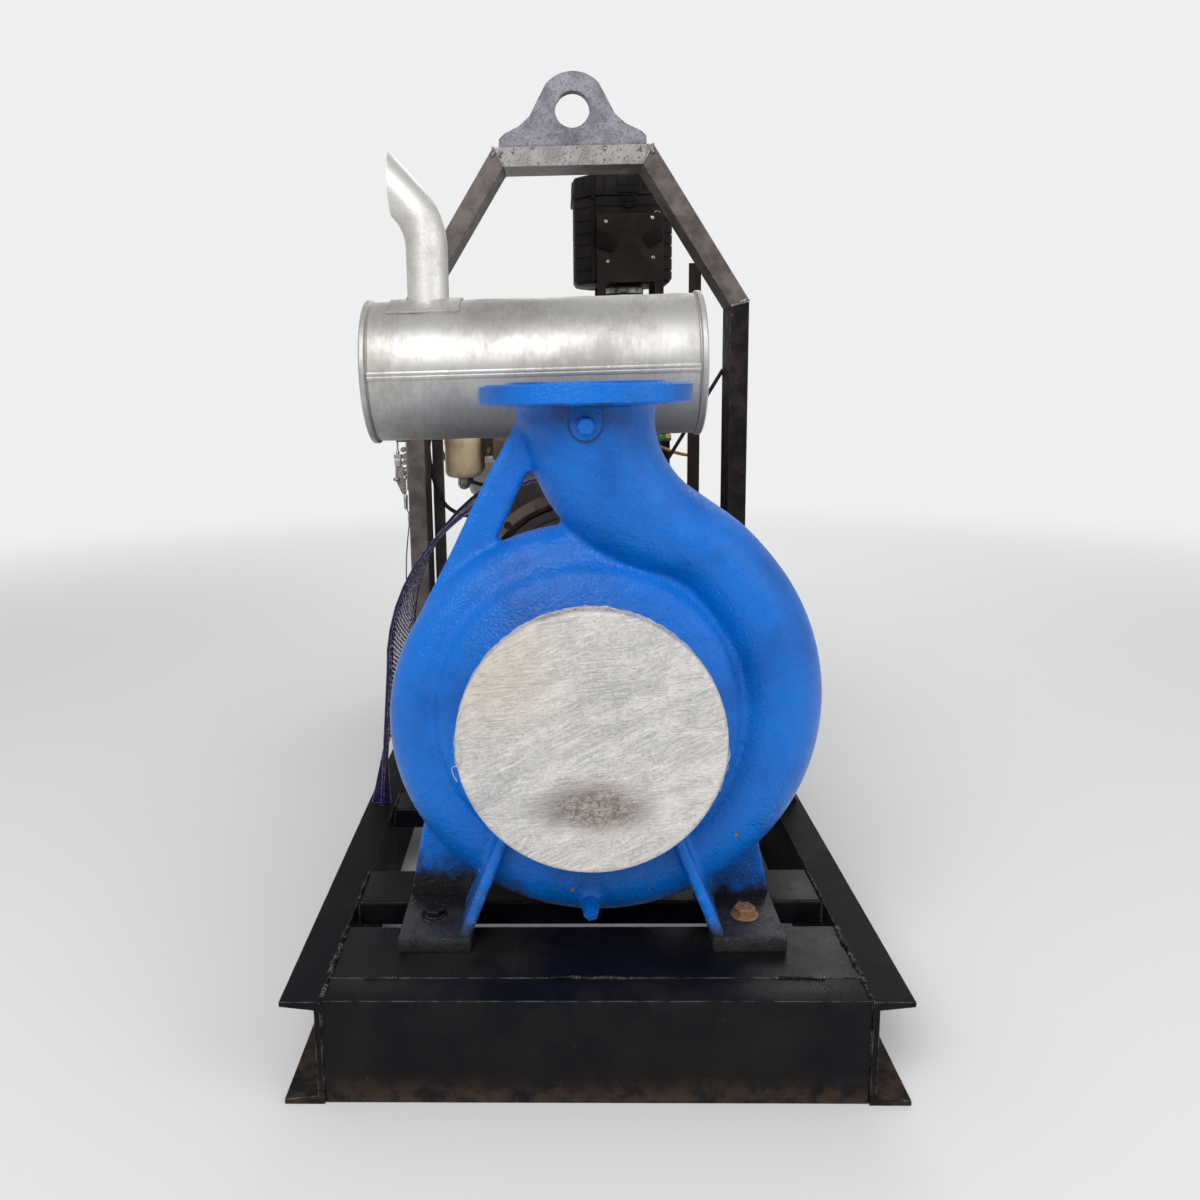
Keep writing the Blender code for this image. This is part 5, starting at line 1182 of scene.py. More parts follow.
# silencer and stack
silencerSettings = {
    "x": -0.076, "y": 0.4, "z": 0.474, "radius": 0.118, "length": 0.566, "tilt": 0.6,
    "seamAngle": -4.0, "seamWidth": 0.0145, "seamRise": 0.0016, "seamSteps": 120, "crimps": 28,
    "stackX": -0.256, "stackRadius": 0.0355, "wall": 0.0028, "bendStart": 0.677, "bendRadius": 0.109,
    "bendAngle": 43.0, "tail": 0.125, "cutX": -0.314, "saddle": 0.12, "saddleAngles": (52.0, 76.0),
    # one end: how far out from the shell and how far in from the end, for each place of the rolled band
    "band": ((-0.02, 0.0075), (-0.011, 0.0055), (-0.0065, 0.0015), (-0.003, 0.0002), (0.0022, 0.0004),
             (0.004, 0.0025), (0.0038, 0.0088), (0.0026, 0.0098), (-0.0024, 0.0106), (-0.0024, 0.0122),
             (-0.0004, 0.0142), (0.0, 0.025)),
    # the folded seam: share of its width, share of its rise
    "seam": ((-0.5, None), (-0.47, 0.6), (-0.38, 1.0), (-0.1, 0.92), (-0.04, 0.55), (0.04, 0.55), (0.1, 0.8),
             (0.4, 0.72), (0.48, 0.35), (0.5, None)),
}
silencerTilt = Matrix.Rotation(-math.radians(silencerSettings["tilt"]), 3, "Y")
silencerMiddle = Vector((silencerSettings["x"], pumpY + silencerSettings["y"],
                         shaftZ + silencerSettings["z"]))


def silencerPlace(along, angle, radius):
    # a place on the silencer: distance along it from its middle, angle up from the front
    spot = Vector((along, -radius * math.cos(angle), radius * math.sin(angle)))
    spot.rotate(silencerTilt)
    return spot + silencerMiddle


def silencerShell(bm):
    s = silencerSettings
    half, r = s["length"] / 2.0, s["radius"]
    end = [(0.0, -half + 0.01), (r * 0.45, -half + 0.0085)]
    end += [(r + out, -half + inward) for out, inward in s["band"]]
    middle = [(r + 0.0005 * math.sin(k * 1.7), -half + 0.025 + (s["length"] - 0.05) * k / 24)
              for k in range(1, 24)]
    addTurned(bm, end + middle + [(size, -place) for size, place in reversed(end)], (0.0, 0.0, 0.0), "X", 112)
    # shallow dents where the sheet was rolled
    for vert in bm.verts:
        x, y, z = vert.co
        if math.hypot(y, z) > r - 0.002 and abs(x) < half - 0.03:
            dent = 1.0 + fractal((x * 9.0, y * 9.0, z * 9.0), 0.9, 2.0, 3) * 0.0045
            vert.co = (x, y * dent, z * dent)
    bmesh.ops.rotate(bm, verts=bm.verts, cent=(0, 0, 0), matrix=silencerTilt)
    bmesh.ops.translate(bm, verts=bm.verts, vec=silencerMiddle)


def silencerSeam(bm):
    # folded lock seam along the front, and the row of crimps in it
    s = silencerSettings
    half, r, angle = s["length"] / 2.0, s["radius"], math.radians(s["seamAngle"])
    wide = s["seamWidth"] / r
    rings = []
    for step in range(s["seamSteps"] + 1):
        along = -half + 0.013 + (s["length"] - 0.026) * step / s["seamSteps"]
        wave = 0.0003 * math.sin(step * 2.4)
        rings.append([silencerPlace(along, angle + wide * share,
                                    r + s["seamRise"] * (-0.001 if rise is None else rise) + wave)
                      for share, rise in s["seam"]])
    addRings(bm, rings, False, False)
    for step in range(s["crimps"]):
        along = -half + 0.03 + (s["length"] - 0.06) * step / (s["crimps"] - 1.0)
        spot = silencerPlace(along, angle + wide * 0.22, r + s["seamRise"] * 0.55)
        out, side, other = sidesOf(spot - silencerPlace(along, angle, 0.0))
        addRings(bm, [circle(spot + out * 0.0007 * high, side, other, 0.0022 * size, 10)
                      for size, high in ((1.0, -0.3), (0.9, 0.4), (0.6, 0.85), (0.2, 1.0))])


def stackLine(extra):
    s = silencerSettings
    base = Vector((s["stackX"], pumpY + s["y"], shaftZ))
    spots = [base + Vector((0.0, 0.0, s["z"] + s["radius"] * 0.6 - extra))]
    spots += [base + Vector((0.0, 0.0, s["z"] + s["radius"] + 0.012 * k)) for k in range(1, 7)]
    for step in range(25):
        angle = math.radians(s["bendAngle"] * step / 24.0)
        spots.append(base + Vector((-s["bendRadius"] * (1.0 - math.cos(angle)), 0.0,
                                    s["bendStart"] + s["bendRadius"] * math.sin(angle))))
    direction = (spots[-1] - spots[-2]).normalized()
    return spots + [spots[-1] + direction * (s["tail"] + extra) * k / 4.0 for k in range(1, 5)]


def stackSaddle(bm):
    # thin plate bent over the silencer under the pipe
    s = silencerSettings
    half, place, r = s["saddle"] / 2.0, s["stackX"] - s["x"], s["radius"]
    start, span = s["saddleAngles"]
    corners = ((place - half, 0.0004), (place - half, 0.0038), (place + half, 0.0038), (place + half, 0.0004))
    angles = [math.radians(start + span * step / 24.0) for step in range(25)]
    addRings(bm, [[silencerPlace(along, angle, r + rise) for along, rise in corners] for angle in angles])


def makeStack():
    s = silencerSettings
    pipe = linkPiece("stack_pipe", meshFrom("stack_pipe", lambda bm: addTube(
        bm, stackLine(0.0), s["stackRadius"], 56), None), "stackSteel")
    cutWith(pipe, toolFrom(lambda bm: addTube(bm, stackLine(0.02), s["stackRadius"] - s["wall"], 48)))
    y = pumpY + s["y"]
    cutWith(pipe, toolFrom(lambda bm: addBox(bm, (s["cutX"] - 0.3, y - 0.2, shaftZ + 0.6),
                                             (s["cutX"], y + 0.2, shaftZ + 1.3))))
    roundOff(pipe.data, 35.0)
    settle(pipe, "silencer_metal", "exhaust_stack")


makePiece("silencer_shell", silencerShell, "silencerSteel", "silencer_metal", "silencer", smooth=40.0)
makePiece("silencer_seam", silencerSeam, "silencerSteel", "silencer_metal", smooth=30.0)
makeStack()
makePiece("stack_saddle", stackSaddle, "silencerSteel", "silencer_metal", smooth=30.0)
print("silencer and stack")


# weld beads and bolts, each laid by one node tree
def layWelds(name, paths, size, finish, slotName, ripple=0.0045, lumps=0.0018):
    piece = pathsPiece(name, paths)
    growTree(piece, weldBead, Size=size, Ripple=ripple, Lumps=lumps, Finish=finishes[finish])
    piece.data.shade_smooth()
    settle(piece, slotName)


def hexHead(bm):
    addBolt(bm, (0.0, 0.0, 0.0), up, 1.0, 0.72, 0.1, 0.2, 1.32)


def roundHead(bm):
    addRings(bm, [[onAxis("Z", size, turn * a / 14, rise) for a in range(14)]
                  for size, rise in ((1.0, 0.0), (1.0, 0.18), (0.86, 0.42), (0.55, 0.56), (0.2, 0.6))])


def setBolts(name, places, finish, slotName, head=hexHead):
    # places are (spot, axis, size), the size being half the distance over the head's corners
    mesh = bpy.data.meshes.new(name)
    mesh.from_pydata([tuple(spot) for spot, _, _ in places], [], [])
    mesh.attributes.new("axis", "FLOAT_VECTOR", "POINT").data.foreach_set(
        "vector", [value for _, axis, _ in places for value in axis])
    mesh.attributes.new("size", "FLOAT", "POINT").data.foreach_set("value", [size for _, _, size in places])
    piece = linkPiece(name, mesh)
    shape = linkPiece("head", meshFrom("head", head, 30.0))
    growTree(piece, setOnPoints, Shape=shape, Finish=finishes[finish])
    bpy.data.objects.remove(shape, do_unlink=True)
    settle(piece, slotName)


# skid: end channels, welds and foot bolts
skidSettings = {"half": 0.4, "front": -1.045, "rear": 1.045, "flange": 0.052, "web": 0.008, "setBack": 0.0022,
                "bars": (pumpY + 0.037, pumpY + 0.371, -0.05, 0.055, 0.385, 0.88)}


def line(first, second, count=8, wander=0.0, seed=1.0):
    # places between two ends, wandering a little off the straight
    first, second = Vector(first), Vector(second)
    spots = []
    for step in range(count + 1):
        spot = first.lerp(second, step / count)
        if wander:
            spot += Vector([noise.noise(spot * 40.0 + Vector(shift))
                            for shift in ((seed, 0, 0), (0, seed, 0), (0, 0, seed))]) * wander
        spots.append(spot)
    return spots


def makeEndChannel(end, face, way):
    # set back a little between the rails, so that the welds in the corners show
    s = skidSettings
    node = f"skid_{end}_channel"
    low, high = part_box(node)
    back, web, tip = (face + way * away for away in (s["setBack"], s["web"], s["flange"]))
    half = [(back, 0.0), (tip, 0.0), (tip, 0.0065), (web, 0.0115)]
    outline = half + [(y, railTop - z) for y, z in reversed(half)]
    makePiece(f"{end}_channel", lambda bm: addPlate(bm, outline, "YZ", low[0], high[0], 0.0026), "skidPaint",
              "skid_paint", node)


def makeSkidWelds():
    s = skidSettings
    edge = s["half"] - s["flange"]
    front, top = s["front"], railTop
    paths = []
    for side in bothSides:
        x = side * edge
        for end, way in ((front, 1.0), (s["rear"], -1.0)):
            # upright bead where the end channel meets the rail, then one across the top flange
            foot = (side * (edge + 0.001), end + way * 0.006)
            paths.append(line((*foot, 0.008), (*foot, 0.138), 14, 0.0012, side))
            paths.append(line((x, end + way * 0.0085, top), (x, end + way * 0.05, top), 6, 0.002, side))
        paths.append(line((x, front + 0.058, top), (x, front + 0.176, top), 10, 0.004, side + 3.0))
    layWelds("skid_corner_welds", paths, 0.004, "skidPaint", "skid_paint", 0.005, 0.0035)
    joint = front + s["flange"]
    fine = [line((left, joint, top), (right, joint, top), *rest) for left, right, *rest in (
        (-0.055, 0.052, 12, 0.002, 2.0), (-0.3, -0.255, 5, 0.001), (0.235, 0.3, 5, 0.001))]
    for bar in s["bars"]:
        for side in bothSides:
            x, inner = side * edge, side * (edge - 0.001)
            fine.append(line((x, bar + 0.008, top), (x, bar + 0.092, top), 8, 0.003, bar))
            down = [(inner, bar + 0.001, top - drop) for drop in (0.004, 0.034)]
            fine.append(line(*down, 4, 0.001, bar))
    layWelds("skid_bar_welds", fine, 0.0026, "skidPaint", "skid_paint", 0.004, 0.002)


def makeFootBolts():
    top = railTop + 0.022
    for name, x, lean, size, finish in (("foot_bolt_left", -0.222, (0.03, -0.02), 0.0145, "skidPaint"),
                                        ("foot_bolt_right", 0.218, (-0.02, 0.02), 0.015, "rustyBolt")):
        setBolts(name, [((x, pumpY - 0.04, top), (*lean, 1.0), size)], finish, "skid_paint")
    rear = [((side * 0.218, pumpY + 0.068, top), up, 0.0145) for side in bothSides]
    foot = [((side * 0.06, pumpY + 0.4006, railTop + 0.0143), up, 0.0105) for side in bothSides]
    setBolts("rear_foot_bolts", rear + foot, "skidPaint", "skid_paint")


makeEndChannel("front", skidSettings["front"], 1.0)
makeEndChannel("rear", skidSettings["rear"], -1.0)
makeSkidWelds()
makeFootBolts()
print("skid welds and bolts")

# lifting frame: welds at the mitres and under the lug
frameSettings = {"halfWidth": 0.362, "knee": 0.61, "top": 0.922, "beam": 0.163, "bar": 0.038, "depth": 0.1,
                 "lugReach": 0.15, "lugFace": 0.0135}


def makeFrameWelds():
    s = frameSettings
    rear = s["depth"] / 2.0 + 0.0002
    front = -rear
    knee, crown, foot = shaftZ + s["knee"], shaftZ + s["top"], railTop + 0.001
    paths = []
    for side in bothSides:
        outer, inner = side * s["halfWidth"], side * (s["halfWidth"] - s["bar"])
        beam, beamIn = side * s["beam"], side * (s["beam"] - 0.021)
        for face in (front, rear):
            paths.append(line((outer, face, knee - 0.002), (inner, face, knee - 0.011), 6, 0.0012, face))
            paths.append(line((beam, face, crown - 0.002), (beamIn, face, crown - s["bar"]), 6, 0.0012, face))
        for x, level in ((outer, knee), (beam, crown)):
            paths.append(line((x, front, level), (x, rear, level), 8, 0.001, side))
        for face in (front, rear):
            paths.append(line((inner, face, foot), (outer, face, foot), 6, 0.001, side))
    layWelds("frame_mitre_welds", paths, 0.0027, "weldSteel", "frame_paint", 0.0035, 0.0016)
    face = front - 0.001
    blobs = [line((x, face, crown - 0.006), (x + side * 0.006, face, crown - 0.018), 3, 0.002)
             for side, x in ((-1.0, -0.16), (-1.0, -0.146), (1.0, 0.158))]
    blobs.append(line((0.34, front, knee - 0.004), (0.358, front, knee + 0.001), 4, 0.002))
    layWelds("frame_weld_blobs", blobs, 0.0046, "weldSteel", "frame_paint", 0.006, 0.003)
    # the lug's fillet along the beam, front and back
    reach, level = s["lugReach"], crown + 0.002
    lug = [line((-reach, face, level), (reach, face, level), 30, 0.0012, face)
           for face in (-s["lugFace"], s["lugFace"])]
    layWelds("lug_welds", lug, 0.0034, "lugSilver", "lug_paint", 0.0045, 0.002)


makeFrameWelds()
print("frame welds")

# air filter: ribbed housing, lid, strap, latch, plate fittings and clamp
filterSettings = {"low": (0.006, 0.285), "high": (0.245, 0.515), "corner": 0.046, "round": 0.012,
                  "bottom": 1.1455, "bodyTop": 1.3448, "lidLow": 1.3455, "lidTop": 1.3978, "lip": 0.0055,
                  "ribs": (1.1757, 1.2057, 1.2356, 1.2608, 1.2904, 1.32), "ribHalf": 0.0026, "groove": 0.0022,
                  "face": 0.2805,
                  "bolts": ((0.0814, 1.2857), (0.1916, 1.2919), (0.0857, 1.1936), (0.1933, 1.201)),
                  "pads": (((0.0593, 1.2682), (0.109, 1.2478), (0.0976, 1.2144), (0.06, 1.2263)),
                           ((0.1695, 1.2483), (0.2071, 1.2726), (0.2182, 1.2436), (0.1844, 1.2221))),
                  "port": (0.1365, 1.333), "strapX": 0.0515, "latch": (0.098, 0.17),
                  "clamp": (0.1255, 0.395), "clampScrew": (0.11, 0.3385, 1.1335)}
# the lid from its lip upwards: height over the lid's foot or under its top, and how far outside the housing
lidFoot = ((0.0, 0.0045), (0.001, 0.0055), (0.0075, 0.0055), (0.0085, 0.002))
lidCrown = ((0.009, 0.001), (0.0028, -0.002), (0.0, -0.008), (0.0, -0.0185), (0.0035, -0.0225),
            (0.0035, -0.0545))


def filterOutline(grow):
    # rectangle with its corners cut off and each cut rounded
    s = filterSettings
    (x0, y0), (x1, y1), c = s["low"], s["high"], s["corner"]
    x0, y0, x1, y1 = x0 - grow, y0 - grow, x1 + grow, y1 + grow
    corners = [Vector(spot) for spot in ((x0 + c, y0), (x1 - c, y0), (x1, y0 + c), (x1, y1 - c), (x1 - c, y1),
                                         (x0 + c, y1), (x0, y1 - c), (x0, y0 + c))]
    spots = []
    for place, here in enumerate(corners):
        before, after = ((corners[(place + way) % 8] - here).normalized() * s["round"] for way in (-1, 1))
        spots += [here + before * (1.0 - t) ** 2 + after * t ** 2 for t in (0.0, 0.33, 0.67, 1.0)]
    return spots


def addFilterRings(bm, levels):
    addRings(bm, [[(spot.x, spot.y, level) for spot in filterOutline(grow)] for level, grow in levels])


def filterBody(bm):
    s = filterSettings
    levels = [(s["bottom"], -0.014), (s["bottom"] + 0.003, -0.006), (s["bottom"] + 0.012, 0.0)]
    for level in s["ribs"]:
        levels += [(level + rise, -sunk) for rise, sunk in ((-s["ribHalf"], 0.0), (-0.0014, s["groove"]),
                                                            (0.0014, s["groove"]), (s["ribHalf"], 0.0))]
    addFilterRings(bm, levels + [(s["bodyTop"], 0.0)])


def filterLid(bm):
    s = filterSettings
    low, top = s["lidLow"], s["lidTop"]
    levels = [(low + rise, grow) for rise, grow in lidFoot] + [(top - drop, grow) for drop, grow in lidCrown]
    addFilterRings(bm, levels)
    # upright ribs round the side, none behind the latch, and stiffening ribs on the top
    outline = filterOutline(s["lip"] - 0.004)
    for place in range(8):
        first, second = outline[place * 4 + 3], outline[(place * 4 + 4) % 32]
        count = max(int((second - first).length / 0.026), 1)
        along = (second - first).normalized()
        out, side = Vector((along.y, -along.x)) * 0.0022, along * 0.002
        for step in range(count):
            spot = first.lerp(second, (step + 0.5) / count)
            if place or not s["latch"][0] < spot.x < s["latch"][1]:
                quad = [spot - side - out, spot + side - out, spot + side + out, spot - side + out]
                addPlate(bm, quad, "XY", low + 0.0075, top - 0.008, 0.0005)
    for step in range(-3, 4):
        x = (s["low"][0] + s["high"][0]) / 2.0 + step * 0.024
        addBox(bm, (x - 0.0018, s["low"][1] + 0.028, top - 0.0045),
               (x + 0.0018, s["high"][1] - 0.028, top - 0.0004), 0.0006, 1)


def filterStraps(bm):
    s = filterSettings
    front, x, half = s["low"][1], s["strapX"], 0.0042
    ends = ((front, -1.0), (s["high"][1], 1.0))
    # strap over the lid and down both ends of the housing, front and back
    for face, way in ends:
        spots = ((0.0016, s["bottom"] + 0.002), (0.0016, 1.338), (0.0075, 1.349), (0.0075, 1.384),
                 (-0.004, 1.3985))
        for (outA, lowA), (outB, lowB) in zip(spots, spots[1:]):
            reach = (face + way * outA, face + way * outB)
            addBox(bm, (x - half, min(reach) - 0.001, lowA), (x + half, max(reach) + 0.001, lowB), 0.0006, 1)
    addBox(bm, (x - half, front + 0.004, 1.3965), (x + half, s["high"][1] - 0.004, 1.399), 0.0006, 1)
    # latch over the lid's edge, with its hinge bar
    for face, way in ends:
        for near, far, left, right, low, high, bevel, rounds in (
                (0.003, 0.0105, 0.108, 0.16, 1.35, 1.393, 0.002, 2),
                (0.008, 0.0125, 0.111, 0.157, 1.3655, 1.369, 0.001, 1),
                (0.008, 0.0125, 0.1335, 0.1355, 1.37, 1.3905, 0.0006, 1)):
            reach = sorted((face + way * near, face + way * far))
            addBox(bm, (left, reach[0], low), (right, reach[1], high), bevel, rounds)
    # round port with its bar
    u, w = s["port"]
    centre = (u, front + 0.0005, w)
    addTurned(bm, ((0.0125, 0.0), (0.0125, -0.0042), (0.0135, -0.0056), (0.0165, -0.0056), (0.0178, -0.0042),
                   (0.0178, 0.0)), centre, "Y", 36)
    addTurned(bm, disc(0.0124, -0.0012, 0.0), centre, "Y", 24)
    addBox(bm, (u - 0.0118, front - 0.004, w - 0.0024), (u + 0.0118, front, w + 0.0024), 0.0008, 1)


def filterPads(bm):
    s = filterSettings
    for share, low, high, bevel in ((1.0, -0.0075, 0.0, 0.0014), (0.62, -0.009, -0.007, 0.0008)):
        for pad in s["pads"]:
            middle = sum((Vector(spot) for spot in pad), Vector((0.0, 0.0))) / 4.0
            addPlate(bm, [middle + (Vector(spot) - middle) * share for spot in pad], "XZ", s["face"] + low,
                     s["face"] + high, bevel)


def filterClamp(bm):
    s = filterSettings
    addTurned(bm, ((0.052, 1.1255), (0.0538, 1.1255), (0.0542, 1.1285), (0.0542, 1.1365), (0.0538, 1.1395),
                   (0.052, 1.1395)), (*s["clamp"], 0.0), "Z", 56)
    addBox(bm, (0.115, 0.3345, 1.127), (0.14, 0.3425, 1.14), 0.0015, 2)
    addTurned(bm, disc(0.0042, 0.0, 0.03), s["clampScrew"], "X", 14)
    addBolt(bm, s["clampScrew"], leftward, 0.0048, 0.005)
    # spring clip on the plate's upper corner
    addTube(bm, [(0.196, 0.2795, 1.303), (0.1985, 0.2775, 1.306), (0.206, 0.2775, 1.306),
                 (0.209, 0.2795, 1.3035)], 0.0011, 8)


makePiece("filter_body", filterBody, "filterPlastic", "black_plastic", "air_filter_body", smooth=40.0)
makePiece("filter_lid", filterLid, "filterPlastic", "black_plastic", "air_filter_lid", smooth=40.0)
makePiece("filter_straps", filterStraps, "filterDark", "black_plastic")
makePiece("filter_pads", filterPads, "filterDark", "black_plastic")
plateBolts = [((u, filterSettings["face"], w), forward, 0.0048) for u, w in filterSettings["bolts"]]
setBolts("filter_plate_bolts", plateBolts, "boltSteel", "frame_paint", roundHead)
makePiece("filter_clamp", filterClamp, "boltSteel", "frame_paint")
print("air filter")

# fuel filters, throttle linkage and the small fittings beside the engine
fittingSettings = {"canX": -0.255, "canY": (0.094, 0.194), "canRadius": 0.042, "canLow": 0.701,
                   "headLow": 0.798, "nut": 0.0128, "knurl": 0.0009, "hose": 0.0046, "post": -0.3622,
                   "pivotY": -0.02, "cable": 0.0014, "senderY": 0.15, "senderZ": 0.781}


def fuelCanisters(bm):
    s = fittingSettings
    low, high, r = s["canLow"], s["headLow"], s["canRadius"]
    for y in s["canY"]:
        foot = [(0.0, low), (0.024, low), (0.033, low + 0.0015), (0.0385, low + 0.0055)]
        side = [(r - 0.0005, low + 0.012), (r, low + 0.016), (r, high - 0.022), (r + 0.0008, high - 0.02)]
        rim = [(r + 0.0008, high - 0.004), (r - 0.001, high), (0.0, high)]
        addTurned(bm, foot + side + rim, (s["canX"], y, 0.0), "Z", 56)


def fuelDrains(bm):
    s = fittingSettings
    for y in s["canY"]:
        # knurled drain nut with a small cup under it
        centre = (s["canX"], y, s["canLow"])
        addRings(bm, [[onAxis("Z", s["nut"] + grow + (s["knurl"] if a % 2 else 0.0), turn * a / 36, rise)
                       + Vector(centre) for a in range(36)]
                      for rise, grow in ((0.0, -0.0012), (-0.0015, 0.0), (-0.0185, 0.0), (-0.02, -0.0012))])
        addTurned(bm, ((0.0, -0.0195), (0.0075, -0.0195), (0.0105, -0.0215), (0.0105, -0.0245),
                       (0.005, -0.0275), (0.0, -0.0275)), centre, "Z", 24)


def filterHead(bm):
    s = fittingSettings
    x, front, rear = s["canX"], s["canY"][0] - 0.03, s["canY"][1] + 0.03
    addBox(bm, (-0.297, front, s["headLow"] + 0.0005), (-0.1155, rear, 0.838), 0.006, 3)
    for y in s["canY"]:
        addTurned(bm, disc(0.03, 0.0, -0.006), (x, y, 0.844), "Z", 32)
        addBolt(bm, (x, y, 0.8438), up, 0.0105, 0.0085)
        addBolt(bm, (-0.2968, y, 0.818), leftward, 0.0098, 0.01, 0.12, 0.2, 0.0115)
    for y in (front + 0.018, rear - 0.018):
        addBolt(bm, (-0.15, y, 0.838), up, 0.0082, 0.007, 0.12, 0.5, 0.0105)


def fuelHoses(bm):
    feed = ((-0.308, 0.094, 0.818), (-0.32, 0.075, 0.806), (-0.3285, 0.055, 0.775), (-0.322, 0.05, 0.715),
            (-0.306, 0.048, 0.664), (-0.285, 0.052, 0.634), (-0.25, 0.068, 0.616), (-0.2, 0.098, 0.603),
            (-0.148, 0.125, 0.598))
    back = ((-0.308, 0.194, 0.818), (-0.32, 0.215, 0.8), (-0.318, 0.25, 0.74), (-0.27, 0.28, 0.68),
            (-0.148, 0.3, 0.64))
    for route in (feed, back):
        addTube(bm, smoothPath(route), fittingSettings["hose"], 12)


def linkageLever(bm):
    post, y = fittingSettings["post"], fittingSettings["pivotY"]
    addBox(bm, (post - 0.0045, y - 0.018, 0.686), (post, y + 0.021, 0.795), 0.0015, 2)
    addTurned(bm, ((0.0, 0.0), (0.0085, 0.0), (0.0085, -0.01), (0.006, -0.012), (0.006, -0.024),
                   (0.0, -0.024)), (post - 0.004, y, 0.727), "X", 18)
    lever = [(-0.3915, 0.74), (-0.3765, 0.74), (-0.3705, 0.718), (-0.37, 0.68), (-0.3725, 0.6755),
             (-0.379, 0.678), (-0.389, 0.7), (-0.3925, 0.718)]
    addPlate(bm, lever, "XZ", y - 0.009, y - 0.0035, 0.001)
    for x, z, size in ((-0.373, 0.774, 0.0058), (-0.37, 0.759, 0.0066), (-0.3722, 0.746, 0.0052)):
        addTurned(bm, ((0.0, -0.01), (size * 0.8, -0.01), (size, -0.008), (size, 0.003), (0.0, 0.003)),
                  (x, y - 0.003, z), "Y", 16)


def linkageJoints(bm):
    y = fittingSettings["pivotY"]
    addTube(bm, [(-0.3853, y - 0.006, 0.8075), (-0.3858, y - 0.006, 0.764)], 0.0019, 10)
    # rod end with its block
    addTurned(bm, ((0.0, 0.0), (0.0034, 0.001), (0.0044, 0.004), (0.0034, 0.007), (0.0, 0.008)),
              (-0.3857, y - 0.006, 0.764), "Z", 14)
    addBox(bm, (-0.3935, y - 0.0135, 0.7555), (-0.3775, y + 0.0015, 0.764), 0.0008, 1)
    addBox(bm, (-0.3925, y - 0.0125, 0.738), (-0.3785, y + 0.0005, 0.7555), 0.0012, 2)
    # a pointed and a round ball joint, then the ferrule and the sleeve on the cable below the lever
    for profile, centre, axis, steps in (
            (((0.0, -0.0075), (0.003, -0.0055), (0.0052, -0.001), (0.0052, 0.004), (0.0035, 0.0065),
              (0.0, 0.007)), (-0.3905, y - 0.011, 0.71), "X", 16),
            (((0.0, -0.0065), (0.003, -0.0055), (0.005, -0.002), (0.005, 0.002), (0.003, 0.0055),
              (0.0, 0.0065)), (-0.371, y - 0.011, 0.7135), "Y", 16),
            (((0.0, 0.644), (0.0036, 0.644), (0.004, 0.647), (0.004, 0.658), (0.0046, 0.66), (0.0046, 0.674),
              (0.0034, 0.676), (0.0, 0.676)), (-0.3722, y - 0.006, 0.0), "Z", 16),
            (((0.0, 0.61), (0.002, 0.61), (0.0024, 0.612), (0.0024, 0.631), (0.0018, 0.633), (0.0, 0.633)),
             (-0.3665, y - 0.006, 0.0), "Z", 12)):
        addTurned(bm, profile, centre, axis, steps)


def linkageCable(bm):
    s = fittingSettings
    y = s["pivotY"]
    route = ((-0.3705, 0.645), (-0.3668, 0.633), (-0.3668, 0.61), (-0.3715, 0.575), (-0.376, 0.53),
             (-0.3778, 0.47), (-0.376, 0.39), (-0.37, 0.29), (-0.367, 0.205))
    addTube(bm, smoothPath([(x, y - 0.006, z) for x, z in route], 7), s["cable"], 8)
    addBox(bm, (s["post"] - 0.0095, y - 0.012, 0.193), (s["post"], y + 0.004, 0.213), 0.0012, 2)


def senderFitting(bm):
    s = fittingSettings
    route = ((0.186, 0.762), (0.2033, 0.7568), (0.225, 0.749), (0.2498, 0.7422), (0.262, 0.74))
    addTube(bm, smoothPath([(x, s["senderY"], z) for x, z in route], 4), 0.004, 10)
    addTurned(bm, disc(0.0075, 0.0, 0.012), (0.212, s["senderY"], s["senderZ"]), "X", 16)


def senderCap(bm):
    s = fittingSettings
    addTurned(bm, ((0.0, 0.0), (0.007, 0.0), (0.007, 0.014), (0.0055, 0.016), (0.0, 0.016)),
              (0.196, s["senderY"], s["senderZ"]), "X", 18)


def manifoldStay(bm):
    addTube(bm, [(0.188, 0.075, 0.72), (0.21, 0.07, 0.74), (0.318, 0.049, 0.921), (0.325, 0.047, 0.933)],
            0.0042, 10)


for name, build, finish, slotName, smooth, *standsFor in (
        ("fuel_canisters", fuelCanisters, "canisterCream", "canister_paint", 40.0, "fuel_filters"),
        ("fuel_drains", fuelDrains, "boltSteel", "canister_paint", 40.0),
        ("fuel_filter_head", filterHead, "engineIron", "canister_paint", 35.0),
        ("fuel_hoses", fuelHoses, "ductRubber", "canister_paint", 50.0),
        ("linkage_lever", linkageLever, "weldSteel", "frame_paint", 35.0, "throttle_linkage"),
        ("linkage_joints", linkageJoints, "boltSteel", "frame_paint", 35.0),
        ("linkage_cable", linkageCable, "cableSteel", "frame_paint", 50.0),
        # what shows between the silencer's end and the right post
        ("sender_fitting", senderFitting, "brassFitting", "engine_iron", 40.0),
        ("sender_cap", senderCap, "capGreen", "engine_iron", 40.0),
        ("manifold_stay", manifoldStay, "postPaint", "frame_paint", 40.0)):
    makePiece(name, build, finish, slotName, *standsFor, smooth=smooth)
print("filters and linkage")


# engine: fixings, ribs and small forms on the plain castings
def boundsOf(name):
    return [Vector(corner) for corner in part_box(name)]


def spaced(first, last, count):
    return [first + (last - first) * step / (count - 1) for step in range(count)]


def roundSpots(y, radius, count, start=0.0):
    # places on a circle round the shaft
    angles = [start + turn * a / count for a in range(count)]
    return [(radius * math.cos(angle), y, shaftZ + radius * math.sin(angle)) for angle in angles]


